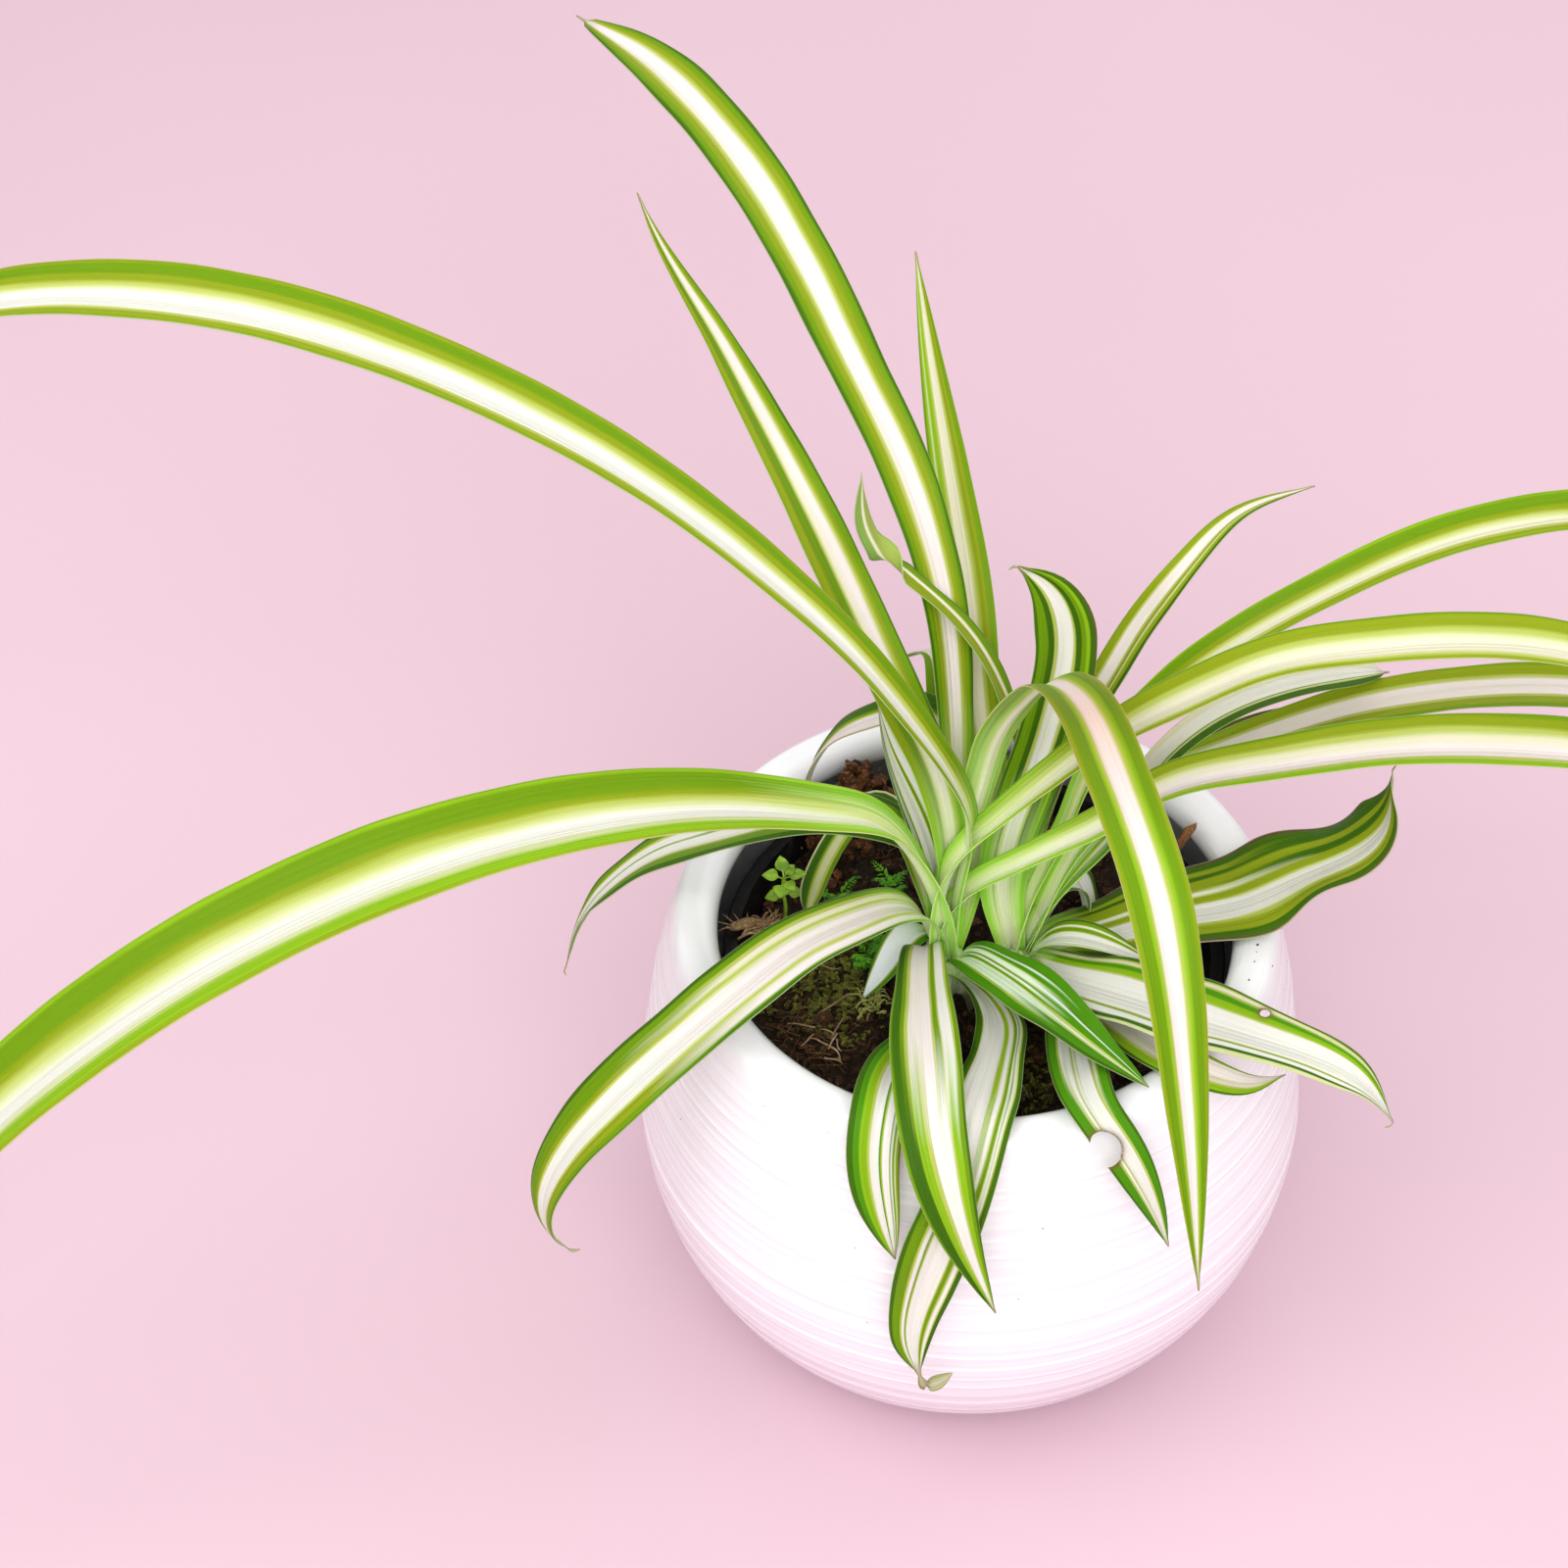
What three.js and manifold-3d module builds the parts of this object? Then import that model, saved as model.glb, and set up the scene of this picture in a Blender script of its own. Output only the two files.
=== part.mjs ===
// A potted spider plant, in millimetres, +Z up. The origin is the centre of the pot's flat base,
// and -Y is the side that faces the viewer.
// Pieces: a white turned cover pot, the black nursery pot that stands in it, the soil with plain holes
// for what grows in it, the clump of two crowns with the feet of its leaves, each leaf blade as a solid
// of its own, a seedling weed, and loose bits of twig and bark on the soil.

import * as THREE from 'three';
import { mergeVertices } from 'three/addons/utils/BufferGeometryUtils.js';
import Module from 'manifold-3d';

const wasm = await Module();
wasm.setup();

// Gap that neighbouring pieces keep.
const GAP = 0.3;

// Cover pot: a squat globe with a rounded lip that turns in.
const POT_RADIUS = 70;
const POT_HEIGHT = 112.5;
const POT_WIDEST_Z = 59;
const POT_BASE_RADIUS = 29.5;
const POT_SHOULDER = [61.3, 110.9];
const POT_LOWER_POWER = 1.88;
const POT_UPPER_POWER = 1.3;
const POT_WALL = 3;
const POT_FLOOR = 5;
const POT_FLOOR_RADIUS = 38;
const MOUTH_RADIUS = 52.6;
// The lip's section from the shoulder inward: how far out of the mouth, and how far below the top.
const LIP = [[8.1, 0.6], [5.6, 0], [2.2, 0.4], [0.5, 1.9], [0, 4], [0.8, 7], [2.6, 9]];
const POT_SIDES = 44;

// Nursery pot: a thin black cone with a rolled rim and six drain holes.
const LINER_RIM_RADIUS = 51.8;
const LINER_RIM_Z = 101;
const LINER_RIM_WIDTH = 1.8;
const LINER_RIM_HEIGHT = 4;
const LINER_BASE_RADIUS = 36;
const LINER_WALL = 1.2;
const LINER_SIDES = 40;
const DRAIN_HOLES = 6;
const DRAIN_RADIUS = 4;
const DRAIN_CIRCLE = 24;

// Soil: its mean level and ripples, the clod heaped against the back left, the hollow by the left wall,
// and the hollow round each crown.
const SOIL_LEVEL = 95;
const SOIL_RIPPLE = 0.8;
const CLOD = { x: -27, y: 40, height: 20, spread: 7 };
const LEFT_HOLLOW = { x: -48, y: 10, depth: 3, acrossX: 16, acrossY: 24 };
const CROWN_HOLLOW = { depth: 4.5, spread: 9.5 };
const SOIL_RINGS = 9;
const SOIL_SIDES = 40;

// The clump: an oval rootstock sunk in the soil, and the places of the two crowns that rise from it.
const ROOTSTOCK = { x: 1.5, y: 1, length: 30, width: 15, bearing: 15, foot: 78, top: 101, sides: 16 };
const CROWNS = [[-6, -1], [9, 3]];

// Blades: thickness at the midrib and at the edge.
const BLADE_THICKNESS = 0.9;
const EDGE_THICKNESS = 0.75;
const STATION_SPACING = 13;
const TIP_WIDTH = 0.8;

// Outline of a common leaf: its foot's share of the full width, and the shares of its length at which
// it reaches that width and begins to narrow again.
const FOOT_SHARE = 0.35;
const FULL_AT = 0.4;
const HOLD_TO = 0.5;
const TAPER_POWER = 1.9;

// Extra folding of the gutter at the foot in degrees, the share of the length it fades over, and the
// number of waves along a waved edge.
const CLASP_FOLD = 24;
const CLASP_SHARE = 0.25;
const EDGE_WAVES = 3.5;

const COLOURS = {
  pot: 0xf4f1f3,
  liner: 0x17171a,
  soil: 0x33221a,
  crown: 0xc5dc9a,
  leaf: 0x86ad3e,
  seedling: 0x6fae2f,
  wood: 0xa58a5c,
  bark: 0x7a4a25,
};

// Each leaf: its course as points [x, y, z] from the root up, its widest
// width, the angle of its gutter in degrees, its roll about the midrib in degrees at root and tip,
// and the length of its foot that is one with the crown. Some leaves have an outline of their own
// (root, full, hold and taper) or waved edges.
const LEAVES = [
  { name: 'leaf_left_arch', width: 23, fold: 20, roll: [0, -12], foot: 34,
    root: 0.25, full: 0.55, hold: 0.6, taper: 2.2,
    course: [[-7, -1, 99], [-9, -2, 118], [-19, -6, 142], [-32, -12.5, 151.5], [-54.8, -21.6, 161.4],
      [-82.4, -33, 166], [-109, -44.5, 164.5], [-131.9, -53.4, 157.6], [-154.1, -61.9, 147],
      [-183.2, -73.8, 126.2], [-214.1, -85.7, 91.2], [-236, -94.7, 57.1]] },
  { name: 'leaf_upper_left_arch', width: 16, fold: 20, roll: [0, -10], foot: 48,
    root: 0.3, full: 0.75, hold: 0.68, taper: 2.2,
    course: [[-6, 0, 99], [-4, 0, 121], [-2.1, 1, 138], [-20.5, 0.7, 175.7], [-38.7, 3.4, 196.4],
      [-63.6, 7.5, 217.5], [-92.7, 11.4, 234.4], [-129.3, 14.8, 247.9], [-160, 19.8, 248.8],
      [-185.8, 22.7, 244.7], [-210.4, 26.8, 231.8], [-235.3, 29.8, 210.8]] },
  { name: 'leaf_front_left_droop', width: 15.5, fold: 7, roll: [0, 0], foot: 22,
    root: 0.35, full: 0.5, hold: 0.5, taper: 3.0,
    course: [[-8, -1, 99], [-11, -3, 114], [-17, -9, 122], [-25, -17, 126], [-34, -24, 127], [-47, -36, 124],
      [-58, -43, 117], [-69, -49, 108], [-78.9, -53.7, 96.4], [-84.2, -56.9, 84.1],
      [-83.2, -57.6, 73.5], [-79.6, -56.5, 67.5]] },
  { name: 'leaf_front_centre', width: 14.5, fold: 8, roll: [0, 0], foot: 18, root: 0.3, full: 0.6,
    course: [[-8, -2, 99], [-10, -6, 108], [-10, -22, 115], [-8, -53, 122], [-6, -66, 117], [-2, -74, 106],
      [2, -77, 95], [7, -80, 84]] },
  { name: 'leaf_back_left_tall', width: 12, fold: 26, roll: [0, 0], foot: 44,
    root: 0.35, full: 0.5, hold: 0.45,
    course: [[-6, 1, 99], [-6, 4, 123], [-9, 7, 142], [-20.4, 15.8, 164.9], [-38.3, 40.5, 188.6],
      [-54.2, 67.4, 200.5], [-69.5, 87.8, 213.8], [-73.8, 95.7, 218.8]] },
  { name: 'leaf_back_tallest', width: 13.6, fold: 16, roll: [0, 0], foot: 46,
    root: 0.32, full: 0.8, hold: 0.84, taper: 2.2,
    course: [[-7, 2, 99], [-5, 11.1, 123], [-6, 21.2, 150], [-9.4, 31.3, 173], [-17.5, 44.2, 192.1],
      [-28.4, 58.3, 207.3], [-39.1, 75.3, 218.3], [-52.2, 94.5, 227.4], [-70.6, 118.3, 232.3],
      [-89.7, 137.4, 232.3]] },
  { name: 'leaf_back_upright', width: 11.2, fold: 24, roll: [0, 0], foot: 52,
    root: 0.4, full: 0.5, hold: 0.4, taper: 1.9,
    course: [[-5, 2, 99], [-0.8, 11.1, 117], [1.4, 19.1, 130], [-1.2, 26.2, 146], [-4.1, 41.1, 164],
      [-8.8, 61, 178], [-13.6, 82.9, 189.9], [-17.5, 104.9, 199]] },
  { name: 'leaf_back_narrow', width: 5, fold: 20, roll: [0, 40], foot: 36,
    root: 0.35, full: 0.4, hold: 0.9,
    course: [[9, 5, 98], [8, 10, 113], [9, 18, 126], [8, 22, 138], [4, 23, 151], [-2, 25, 164],
      [-10, 26, 174], [-20, 27, 184], [-24, 27, 193], [-25, 28, 205]] },
  { name: 'leaf_front_arch', width: 12.5, fold: 14, roll: [0, 0], foot: 46,
    root: 0.4, full: 0.65, hold: 0.65,
    course: [[-5, 1, 99], [-4, 4, 119], [0, 9, 137], [3, 7, 155], [8, 2, 170], [13, -9, 186], [19, -29, 199],
      [24, -47, 201], [31, -68, 196], [35, -81, 185], [39, -95, 162], [43, -108, 131]] },
  { name: 'leaf_right_arch_high', width: 12.2, fold: 24, roll: [0, 10], foot: 44,
    root: 0.5, full: 0.45, hold: 0.62, taper: 2.6,
    course: [[-6, -2, 99], [-6, -2, 122], [-2.8, -1.1, 129.9], [5.5, -0.1, 139.9], [18.9, -1.7, 158.2],
      [29.1, -5.2, 171.8], [41.9, -8.3, 184.7], [54.2, -9.7, 194.3], [72.2, -9.3, 198.7],
      [90.1, -6.6, 198.5], [108.8, -3.7, 194.4], [136.5, -6.6, 186.4], [159.2, -5.6, 172.5],
      [176.1, -5.5, 156.6]] },
  { name: 'leaf_right_arch_low', width: 15.5, fold: 30, roll: [0, 10], foot: 34,
    root: 0.26, full: 0.75, hold: 0.76, taper: 2.2,
    course: [[-5, -3, 98], [-5, -1, 111], [0, 0, 119], [8.2, -2.2, 127.8], [16.4, -2.5, 134.5],
      [25.6, -1.7, 140.3], [37.6, 1, 149], [56.2, 3.2, 153.2], [84.2, 5.5, 157.5], [114.9, 7.7, 155.8],
      [139.3, 9.6, 148.8], [161.7, 11.7, 134.9], [178.3, 13.8, 117]] },
  { name: 'leaf_front_right_short', width: 13, fold: 16, roll: [0, 0], foot: 12, root: 0.4, full: 0.45,
    course: [[-4, -2, 97], [-2, -5, 104], [4, -13, 109], [13, -25, 114], [23, -37, 116], [35, -48, 116]] },
  { name: 'leaf_front_striped', width: 13, fold: 12, roll: [0, 0], foot: 12,
    root: 0.2, full: 0.45, hold: 0.65,
    course: [[-5, -3, 96], [0, -9, 100], [6, -22, 104], [5, -40, 110], [2, -59.4, 115.5], [0, -66.8, 107],
      [-4, -71.8, 97], [-8, -73.4, 80.5], [-10, -75, 66], [-9, -76, 58], [-2, -75, 55]] },
  { name: 'leaf_front_under', width: 11, fold: 12, roll: [0, 0], foot: 12, full: 0.5,
    course: [[-8, -4, 95], [-9, -14, 101], [-8, -28, 107], [-15, -44, 114], [-17, -57, 117], [-18, -63, 110],
      [-16, -68, 98], [-13, -71, 88]] },
  { name: 'leaf_front_stub', width: 6.5, fold: 14, roll: [0, 0], foot: 13, full: 0.4,
    course: [[-9, 3, 101], [-13, -1, 107], [-17, -9, 105], [-22, -13, 99]] },
  { name: 'leaf_left_low', width: 13, fold: 18, roll: [0, 0], foot: 26,
    root: 0.33, full: 0.4, hold: 0.55, taper: 1.7,
    course: [[-8, 1, 99], [-10, 8, 116], [-17, 9, 126], [-25, 7, 131], [-36, 5, 132], [-51.2, 3.5, 127.5],
      [-64.6, 4.9, 119.9], [-75.5, 4.4, 109.4], [-82.1, 4.4, 98.4], [-85.6, 4.1, 85.2]] },
  { name: 'leaf_rim_hugger', width: 9, fold: 14, roll: [0, 0], foot: 56, full: 0.5,
    course: [[-7, 4, 99], [-5, 18, 130], [-7, 23, 141], [-12, 25, 145], [-19, 26, 142], [-27, 27, 137],
      [-32, 29, 129], [-35, 30, 121], [-36, 31, 114]] },
  { name: 'leaf_back_left_folded', width: 9, fold: 24, roll: [0, 0], foot: 36, full: 0.5,
    course: [[-8, 3, 99], [-8, 5, 120], [-12, 11, 129], [-16, 15, 136], [-19, 18, 142], [-21, 22, 148]] },
  { name: 'leaf_left_shaded', width: 7.5, fold: 12, roll: [0, 0], foot: 14, full: 0.4,
    course: [[-8, 5, 98], [-15, 22, 111], [-21, 31, 113], [-26, 27, 111], [-31, 20, 107], [-34, 13, 103],
      [-35, 9, 99]] },
  { name: 'leaf_back_hidden', width: 8, fold: 14, roll: [0, 0], foot: 52, full: 0.5,
    course: [[-6, 5, 99], [-5, 18, 116], [-7, 24, 130], [-9, 31, 146], [-11, 42, 146], [-15, 42, 144],
      [-20, 41, 141]] },
  { name: 'leaf_crumpled', width: 9, fold: 22, roll: [0, 30], foot: 10, full: 0.4,
    course: [[11, 6, 97], [14, 11, 104], [18, 16, 108], [22, 16, 104], [23, 10, 98]] },
  { name: 'leaf_b_back_curled', width: 13, fold: 16, roll: [0, 0], foot: 44, full: 0.5,
    course: [[8, 3, 98], [5, 6, 117], [7, 11, 125], [12, 20, 138], [15, 22, 154], [16, 25, 169],
      [12, 27, 179], [6, 27, 183]] },
  { name: 'leaf_b_right_long', width: 11.5, fold: 24, roll: [0, 10], foot: 40,
    root: 0.33, full: 0.8, hold: 0.78, taper: 2.4,
    course: [[9, 2, 98], [12, 5, 113], [19, 10, 130], [22.2, 12.9, 140.9], [37.3, 17.2, 161.1],
      [48.5, 18.8, 171.8], [64.4, 24.7, 179.6], [88, 35.3, 185.3], [114, 45.5, 184.5],
      [137.9, 54.5, 176.5], [157.9, 62.5, 161.5]] },
  { name: 'leaf_b_right_folded', width: 7.5, fold: 34, roll: [0, 20], foot: 54,
    root: 0.4, full: 0.4, hold: 0.82, taper: 3.0,
    course: [[11, 3, 98], [17, 7, 111], [28, 12, 124], [36.5, 14.6, 142.8], [46.7, 18.9, 151.5],
      [60.2, 25.1, 153.7], [74, 32.1, 151.3], [81.9, 36.2, 149.2]] },
  { name: 'leaf_b_right_brown', width: 6.3, fold: 30, roll: [0, 20], foot: 46,
    root: 0.42, full: 0.4, hold: 0.5,
    course: [[11, 5, 98], [18, 9, 114], [28, 15, 126], [38, 20, 134], [46, 25, 136], [54, 30, 138],
      [68, 37, 137], [79, 44, 136]] },
  { name: 'leaf_b_right_low', width: 12.5, fold: 26, roll: [0, 15], foot: 52,
    root: 0.28, full: 0.75, hold: 0.8, taper: 2.2,
    course: [[12, 4, 98], [22, 8, 126], [37, 14, 139], [45, 16, 142], [61, 22, 145], [76, 28, 146],
      [97, 34.8, 144.8], [120, 42.7, 138.8], [141.8, 47.6, 130.7], [160.6, 54.7, 114.7]] },
  { name: 'leaf_b_back_right', width: 8, fold: 22, roll: [0, 0], foot: 34, full: 0.5,
    course: [[10, 5, 98], [12, 17, 119], [17.5, 25.9, 134.8], [25.2, 31.6, 148.5], [31.2, 37.4, 158.4],
      [38.9, 40, 171], [49.4, 53.6, 174.6], [65.9, 66.2, 172.2]] },
  { name: 'leaf_b_right_wavy', width: 22.5, fold: 10, roll: [0, 0], foot: 12,
    root: 0.3, full: 0.45, hold: 0.62, taper: 2.0, wave: 1.2,
    course: [[11, 2, 96], [18, 4, 100], [27, 4, 103], [41.3, 5.3, 108.3], [53.9, 4.5, 113.4],
      [65.1, 6, 120.1], [76.6, 7.6, 126.5], [82.3, 8.2, 135.1], [81.8, 11.2, 146]] },
  { name: 'leaf_b_front_right', width: 19, fold: 12, roll: [0, 0], foot: 12,
    root: 0.3, full: 0.45, hold: 0.45, wave: 0.5,
    course: [[11, 0, 97], [19, -13, 107], [33, -24, 114], [44, -31.9, 118.1], [56.3, -39.4, 121.6],
      [68.7, -43.8, 121.1], [77.1, -45.9, 117], [82.7, -48.5, 109.4]] },
  { name: 'leaf_b_front_right_under', width: 12, fold: 12, roll: [0, 0], foot: 10, root: 0.3, full: 0.5,
    course: [[11, 0, 94], [26, -18, 104], [37, -34, 111], [43, -43, 116], [50, -45, 115], [58, -42, 111],
      [62, -40, 112]] },
  { name: 'leaf_b_right_short', width: 6.5, fold: 18, roll: [0, 0], foot: 8,
    course: [[12, 1, 98], [17, -2, 108], [26, -6, 111], [37, -8, 107]] },
  { name: 'leaf_b_front_bitten', width: 11.5, fold: 12, roll: [0, 0], foot: 22, root: 0.3, full: 0.5,
    course: [[10, -1, 94], [15, 0, 100], [19, -15, 103], [21, -36, 110], [24, -54, 116], [29, -60, 112],
      [35, -63, 100], [40, -63, 86]] },
];

// A seedling weed at the left: its stem radius, and leaves by bearing, rise, height, length and width.
const SEEDLING = {
  x: -40, y: 13.5, foot: 88, top: 106.5, stem: 0.6,
  leaves: [
    { bearing: 175, rise: 12, height: 105, length: 4.6, width: 3.2 },
    { bearing: 105, rise: 40, height: 105.6, length: 4.6, width: 2.8 },
    { bearing: 50, rise: 35, height: 105.2, length: 3.6, width: 2.6 },
    { bearing: 8, rise: 20, height: 105, length: 5, width: 3 },
    { bearing: -50, rise: 5, height: 104.6, length: 3.6, width: 2.6 },
    { bearing: -100, rise: -12, height: 104.2, length: 3.8, width: 3.4 },
    { bearing: 190, rise: 8, height: 99.6, length: 4, width: 3.2 },
    { bearing: 10, rise: 12, height: 100, length: 4, width: 3.4 },
  ],
};

const SEEDLING_SIDES = 8;

// Bits on the soil: half thickness, half width and course of each.
const BITS = [
  { name: 'twig_left', colour: 'wood', thick: 0.9, wide: 1.1,
    course: [[-50.4, 1, 102.8], [-48, 3, 102.1], [-44, 6, 99.4], [-39, 9, 94.6]] },
  { name: 'twig_back', colour: 'bark', thick: 0.7, wide: 0.9,
    course: [[-18.5, 38, 101.5], [-18.2, 37.5, 105], [-19.2, 37.8, 108.5]] },
  { name: 'bark_curl_right', colour: 'bark', thick: 0.6, wide: 1.5,
    course: [[38.4, 25, 97], [40.4, 25.4, 103], [42.5, 25.5, 108], [45, 25, 114.5]] },
];

function geometryFrom(points, triangles) {
  const geometry = new THREE.BufferGeometry();
  geometry.setAttribute('position', new THREE.Float32BufferAttribute(points.flat(), 3));
  geometry.setIndex(triangles.flat());
  return geometry;
}

// Turns a closed profile of [radius, height] about the upright axis.
function turned(profile, sides) {
  const geometry = new THREE.LatheGeometry(profile.map(([r, z]) => new THREE.Vector2(r, z)), sides);
  geometry.rotateX(Math.PI / 2);
  return geometry;
}

function toSolid(geometry) {
  const bare = geometry.clone();
  bare.deleteAttribute('normal');
  bare.deleteAttribute('uv');
  const merged = mergeVertices(bare, 1e-4);
  const solid = new wasm.Manifold(new wasm.Mesh({
    numProp: 3,
    vertProperties: new Float32Array(merged.attributes.position.array),
    triVerts: new Uint32Array(merged.index.array),
  }));
  return solid;
}

function fromSolid(solid) {
  const mesh = solid.getMesh();
  const geometry = new THREE.BufferGeometry();
  geometry.setAttribute('position', new THREE.BufferAttribute(new Float32Array(mesh.vertProperties), 3));
  geometry.setIndex(new THREE.BufferAttribute(new Uint32Array(mesh.triVerts), 1));
  return geometry;
}

// A quarter superellipse between two [radius, height] points, from the first to the second.
function superArc(from, to, power, steps, flatFirst) {
  const points = [];
  for (let i = 0; i <= steps; i += 1) {
    const angle = (i / steps) * (Math.PI / 2);
    const across = flatFirst ? 1 - Math.cos(angle) ** (2 / power) : Math.sin(angle) ** (2 / power);
    const along = flatFirst ? Math.sin(angle) ** (2 / power) : 1 - Math.cos(angle) ** (2 / power);
    points.push([from[0] + (to[0] - from[0]) * along, from[1] + (to[1] - from[1]) * across]);
  }
  return points;
}

function potProfile() {
  const widest = [POT_RADIUS, POT_WIDEST_Z];
  const outer = superArc([POT_BASE_RADIUS, 0], widest, POT_LOWER_POWER, 8, true)
    .concat(superArc(widest, POT_SHOULDER, POT_UPPER_POWER, 7, false).slice(1));
  const lip = LIP.map(([out, drop]) => [MOUTH_RADIUS + out, POT_HEIGHT - drop]);
  const innerWidest = [POT_RADIUS - POT_WALL, POT_WIDEST_Z];
  const inner = superArc(lip.pop(), innerWidest, POT_UPPER_POWER, 4, true)
    .concat(superArc(innerWidest, [POT_FLOOR_RADIUS, POT_FLOOR], POT_LOWER_POWER, 5, false).slice(1));
  return [[0, 0], ...outer, ...lip, ...inner, [0, POT_FLOOR]];
}

function coverPot() {
  return turned(potProfile(), POT_SIDES);
}

// The nursery pot stands on the cover pot's floor.
const LINER_FOOT_Z = POT_FLOOR + GAP;

function linerInnerRadius(z) {
  const share = (z - LINER_FOOT_Z) / (LINER_RIM_Z - LINER_FOOT_Z);
  const outside = LINER_BASE_RADIUS + (LINER_RIM_RADIUS - LINER_RIM_WIDTH - LINER_BASE_RADIUS) * share;
  return outside - LINER_WALL;
}

function nurseryPot() {
  const wallTop = LINER_RIM_RADIUS - LINER_RIM_WIDTH;
  const rimFoot = LINER_RIM_Z - LINER_RIM_HEIGHT;
  const profile = [
    [0, LINER_FOOT_Z],
    [LINER_BASE_RADIUS, LINER_FOOT_Z],
    [linerInnerRadius(rimFoot) + LINER_WALL, rimFoot],
    [LINER_RIM_RADIUS, rimFoot + 0.4],
    [LINER_RIM_RADIUS, LINER_RIM_Z - 0.5],
    [LINER_RIM_RADIUS - 0.5, LINER_RIM_Z],
    [wallTop - LINER_WALL, LINER_RIM_Z],
    [linerInnerRadius(LINER_FOOT_Z + LINER_WALL), LINER_FOOT_Z + LINER_WALL],
    [0, LINER_FOOT_Z + LINER_WALL],
  ];
  let solid = toSolid(turned(profile, LINER_SIDES));
  for (let i = 0; i < DRAIN_HOLES; i += 1) {
    const angle = (i / DRAIN_HOLES) * 2 * Math.PI;
    const drill = new THREE.CylinderGeometry(DRAIN_RADIUS, DRAIN_RADIUS, 4 * LINER_WALL, 12);
    drill.rotateX(Math.PI / 2);
    drill.translate(DRAIN_CIRCLE, 0, LINER_FOOT_Z + LINER_WALL / 2);
    drill.rotateZ(angle);
    solid = solid.subtract(toSolid(drill));
  }
  return fromSolid(solid);
}

// Soil height at a place: level, sunk a little round each crown and at the left wall, rippled, and
// heaped into a clod at the back left.
function soilHeight(x, y) {
  const fromClod = ((x - CLOD.x) ** 2 + (y - CLOD.y) ** 2) / CLOD.spread ** 2;
  const clod = CLOD.height * Math.exp(-fromClod);
  const leftX = (x - LEFT_HOLLOW.x) / LEFT_HOLLOW.acrossX;
  const leftY = (y - LEFT_HOLLOW.y) / LEFT_HOLLOW.acrossY;
  let dips = LEFT_HOLLOW.depth * Math.exp(-(leftX ** 2) - leftY ** 2);
  for (const [crownX, crownY] of CROWNS) {
    const away = ((x - crownX) ** 2 + (y - crownY) ** 2) / CROWN_HOLLOW.spread ** 2;
    dips += CROWN_HOLLOW.depth * Math.exp(-away);
  }
  const broad = Math.sin(x * 0.41 + 1.3) * Math.cos(y * 0.37);
  const fine = 0.6 * Math.sin(x * 0.9 - y * 0.7);
  const ripple = SOIL_RIPPLE * (broad + fine);
  return SOIL_LEVEL + clod - dips + ripple;
}

function soil() {
  const floorZ = LINER_FOOT_Z + LINER_WALL + GAP;
  const rimRadius = linerInnerRadius(SOIL_LEVEL - LEFT_HOLLOW.depth) - GAP;
  const footRadius = linerInnerRadius(floorZ) - GAP;
  const points = [[0, 0, soilHeight(0, 0)]];
  const triangles = [];
  const at = (ring, side) => 1 + (ring - 1) * SOIL_SIDES + (side % SOIL_SIDES);
  for (let ring = 1; ring <= SOIL_RINGS + 1; ring += 1) {
    for (let side = 0; side < SOIL_SIDES; side += 1) {
      const angle = (side / SOIL_SIDES) * 2 * Math.PI;
      const foot = ring > SOIL_RINGS;
      const radius = foot ? footRadius : (rimRadius * ring) / SOIL_RINGS;
      const x = radius * Math.cos(angle);
      const y = radius * Math.sin(angle);
      points.push([x, y, foot ? floorZ : soilHeight(x, y)]);
    }
  }
  const bottom = points.length;
  points.push([0, 0, floorZ]);
  for (let side = 0; side < SOIL_SIDES; side += 1) {
    triangles.push([0, at(1, side), at(1, side + 1)]);
    for (let ring = 1; ring <= SOIL_RINGS; ring += 1) {
      triangles.push([at(ring, side), at(ring + 1, side), at(ring + 1, side + 1)]);
      triangles.push([at(ring, side), at(ring + 1, side + 1), at(ring, side + 1)]);
    }
    triangles.push([at(SOIL_RINGS + 1, side), bottom, at(SOIL_RINGS + 1, side + 1)]);
  }
  const aboveSoil = SOIL_LEVEL + CLOD.height;
  let solid = toSolid(geometryFrom(points, triangles));
  solid = solid.subtract(toSolid(rootstock(GAP, aboveSoil)));
  solid = solid.subtract(toSolid(peg(SEEDLING.stem + GAP, SEEDLING.foot - GAP, aboveSoil, SEEDLING_SIDES)
    .translate(SEEDLING.x, SEEDLING.y, 0)));
  return fromSolid(solid);
}

// An upright round peg on the Z axis between two heights.
function peg(radius, low, high, sides) {
  const geometry = new THREE.CylinderGeometry(radius, radius, high - low, sides);
  geometry.rotateX(Math.PI / 2);
  geometry.translate(0, 0, (low + high) / 2);
  return geometry;
}

// The oval rootstock, grown outward by a margin, up to a height.
function rootstock(margin, high) {
  const geometry = peg(1, ROOTSTOCK.foot - margin, high, ROOTSTOCK.sides);
  geometry.scale(ROOTSTOCK.length / 2 + margin, ROOTSTOCK.width / 2 + margin, 1);
  geometry.rotateZ(THREE.MathUtils.degToRad(ROOTSTOCK.bearing));
  geometry.translate(ROOTSTOCK.x, ROOTSTOCK.y, 0);
  return geometry;
}

// Width along a leaf: it widens from a narrow foot, keeps its width for a while and tapers to a fine tip.
function leafWidth(leaf, t) {
  const root = leaf.root ?? FOOT_SHARE;
  const full = leaf.full ?? FULL_AT;
  const hold = leaf.hold ?? HOLD_TO;
  const power = leaf.taper ?? TAPER_POWER;
  const widening = root + (1 - root) * Math.sin(Math.min(t / full, 1) * (Math.PI / 2));
  const taper = t < hold ? 1 : 1 - ((t - hold) / (1 - hold)) ** power;
  return Math.max(leaf.width * widening * taper, TIP_WIDTH);
}

// The gutter is deepest at the foot, where the blade clasps the crown.
function leafFold(leaf, t) {
  const clasp = Math.max(0, 1 - t / CLASP_SHARE);
  return THREE.MathUtils.degToRad(leaf.fold + CLASP_FOLD * clasp ** 1.5);
}

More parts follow.
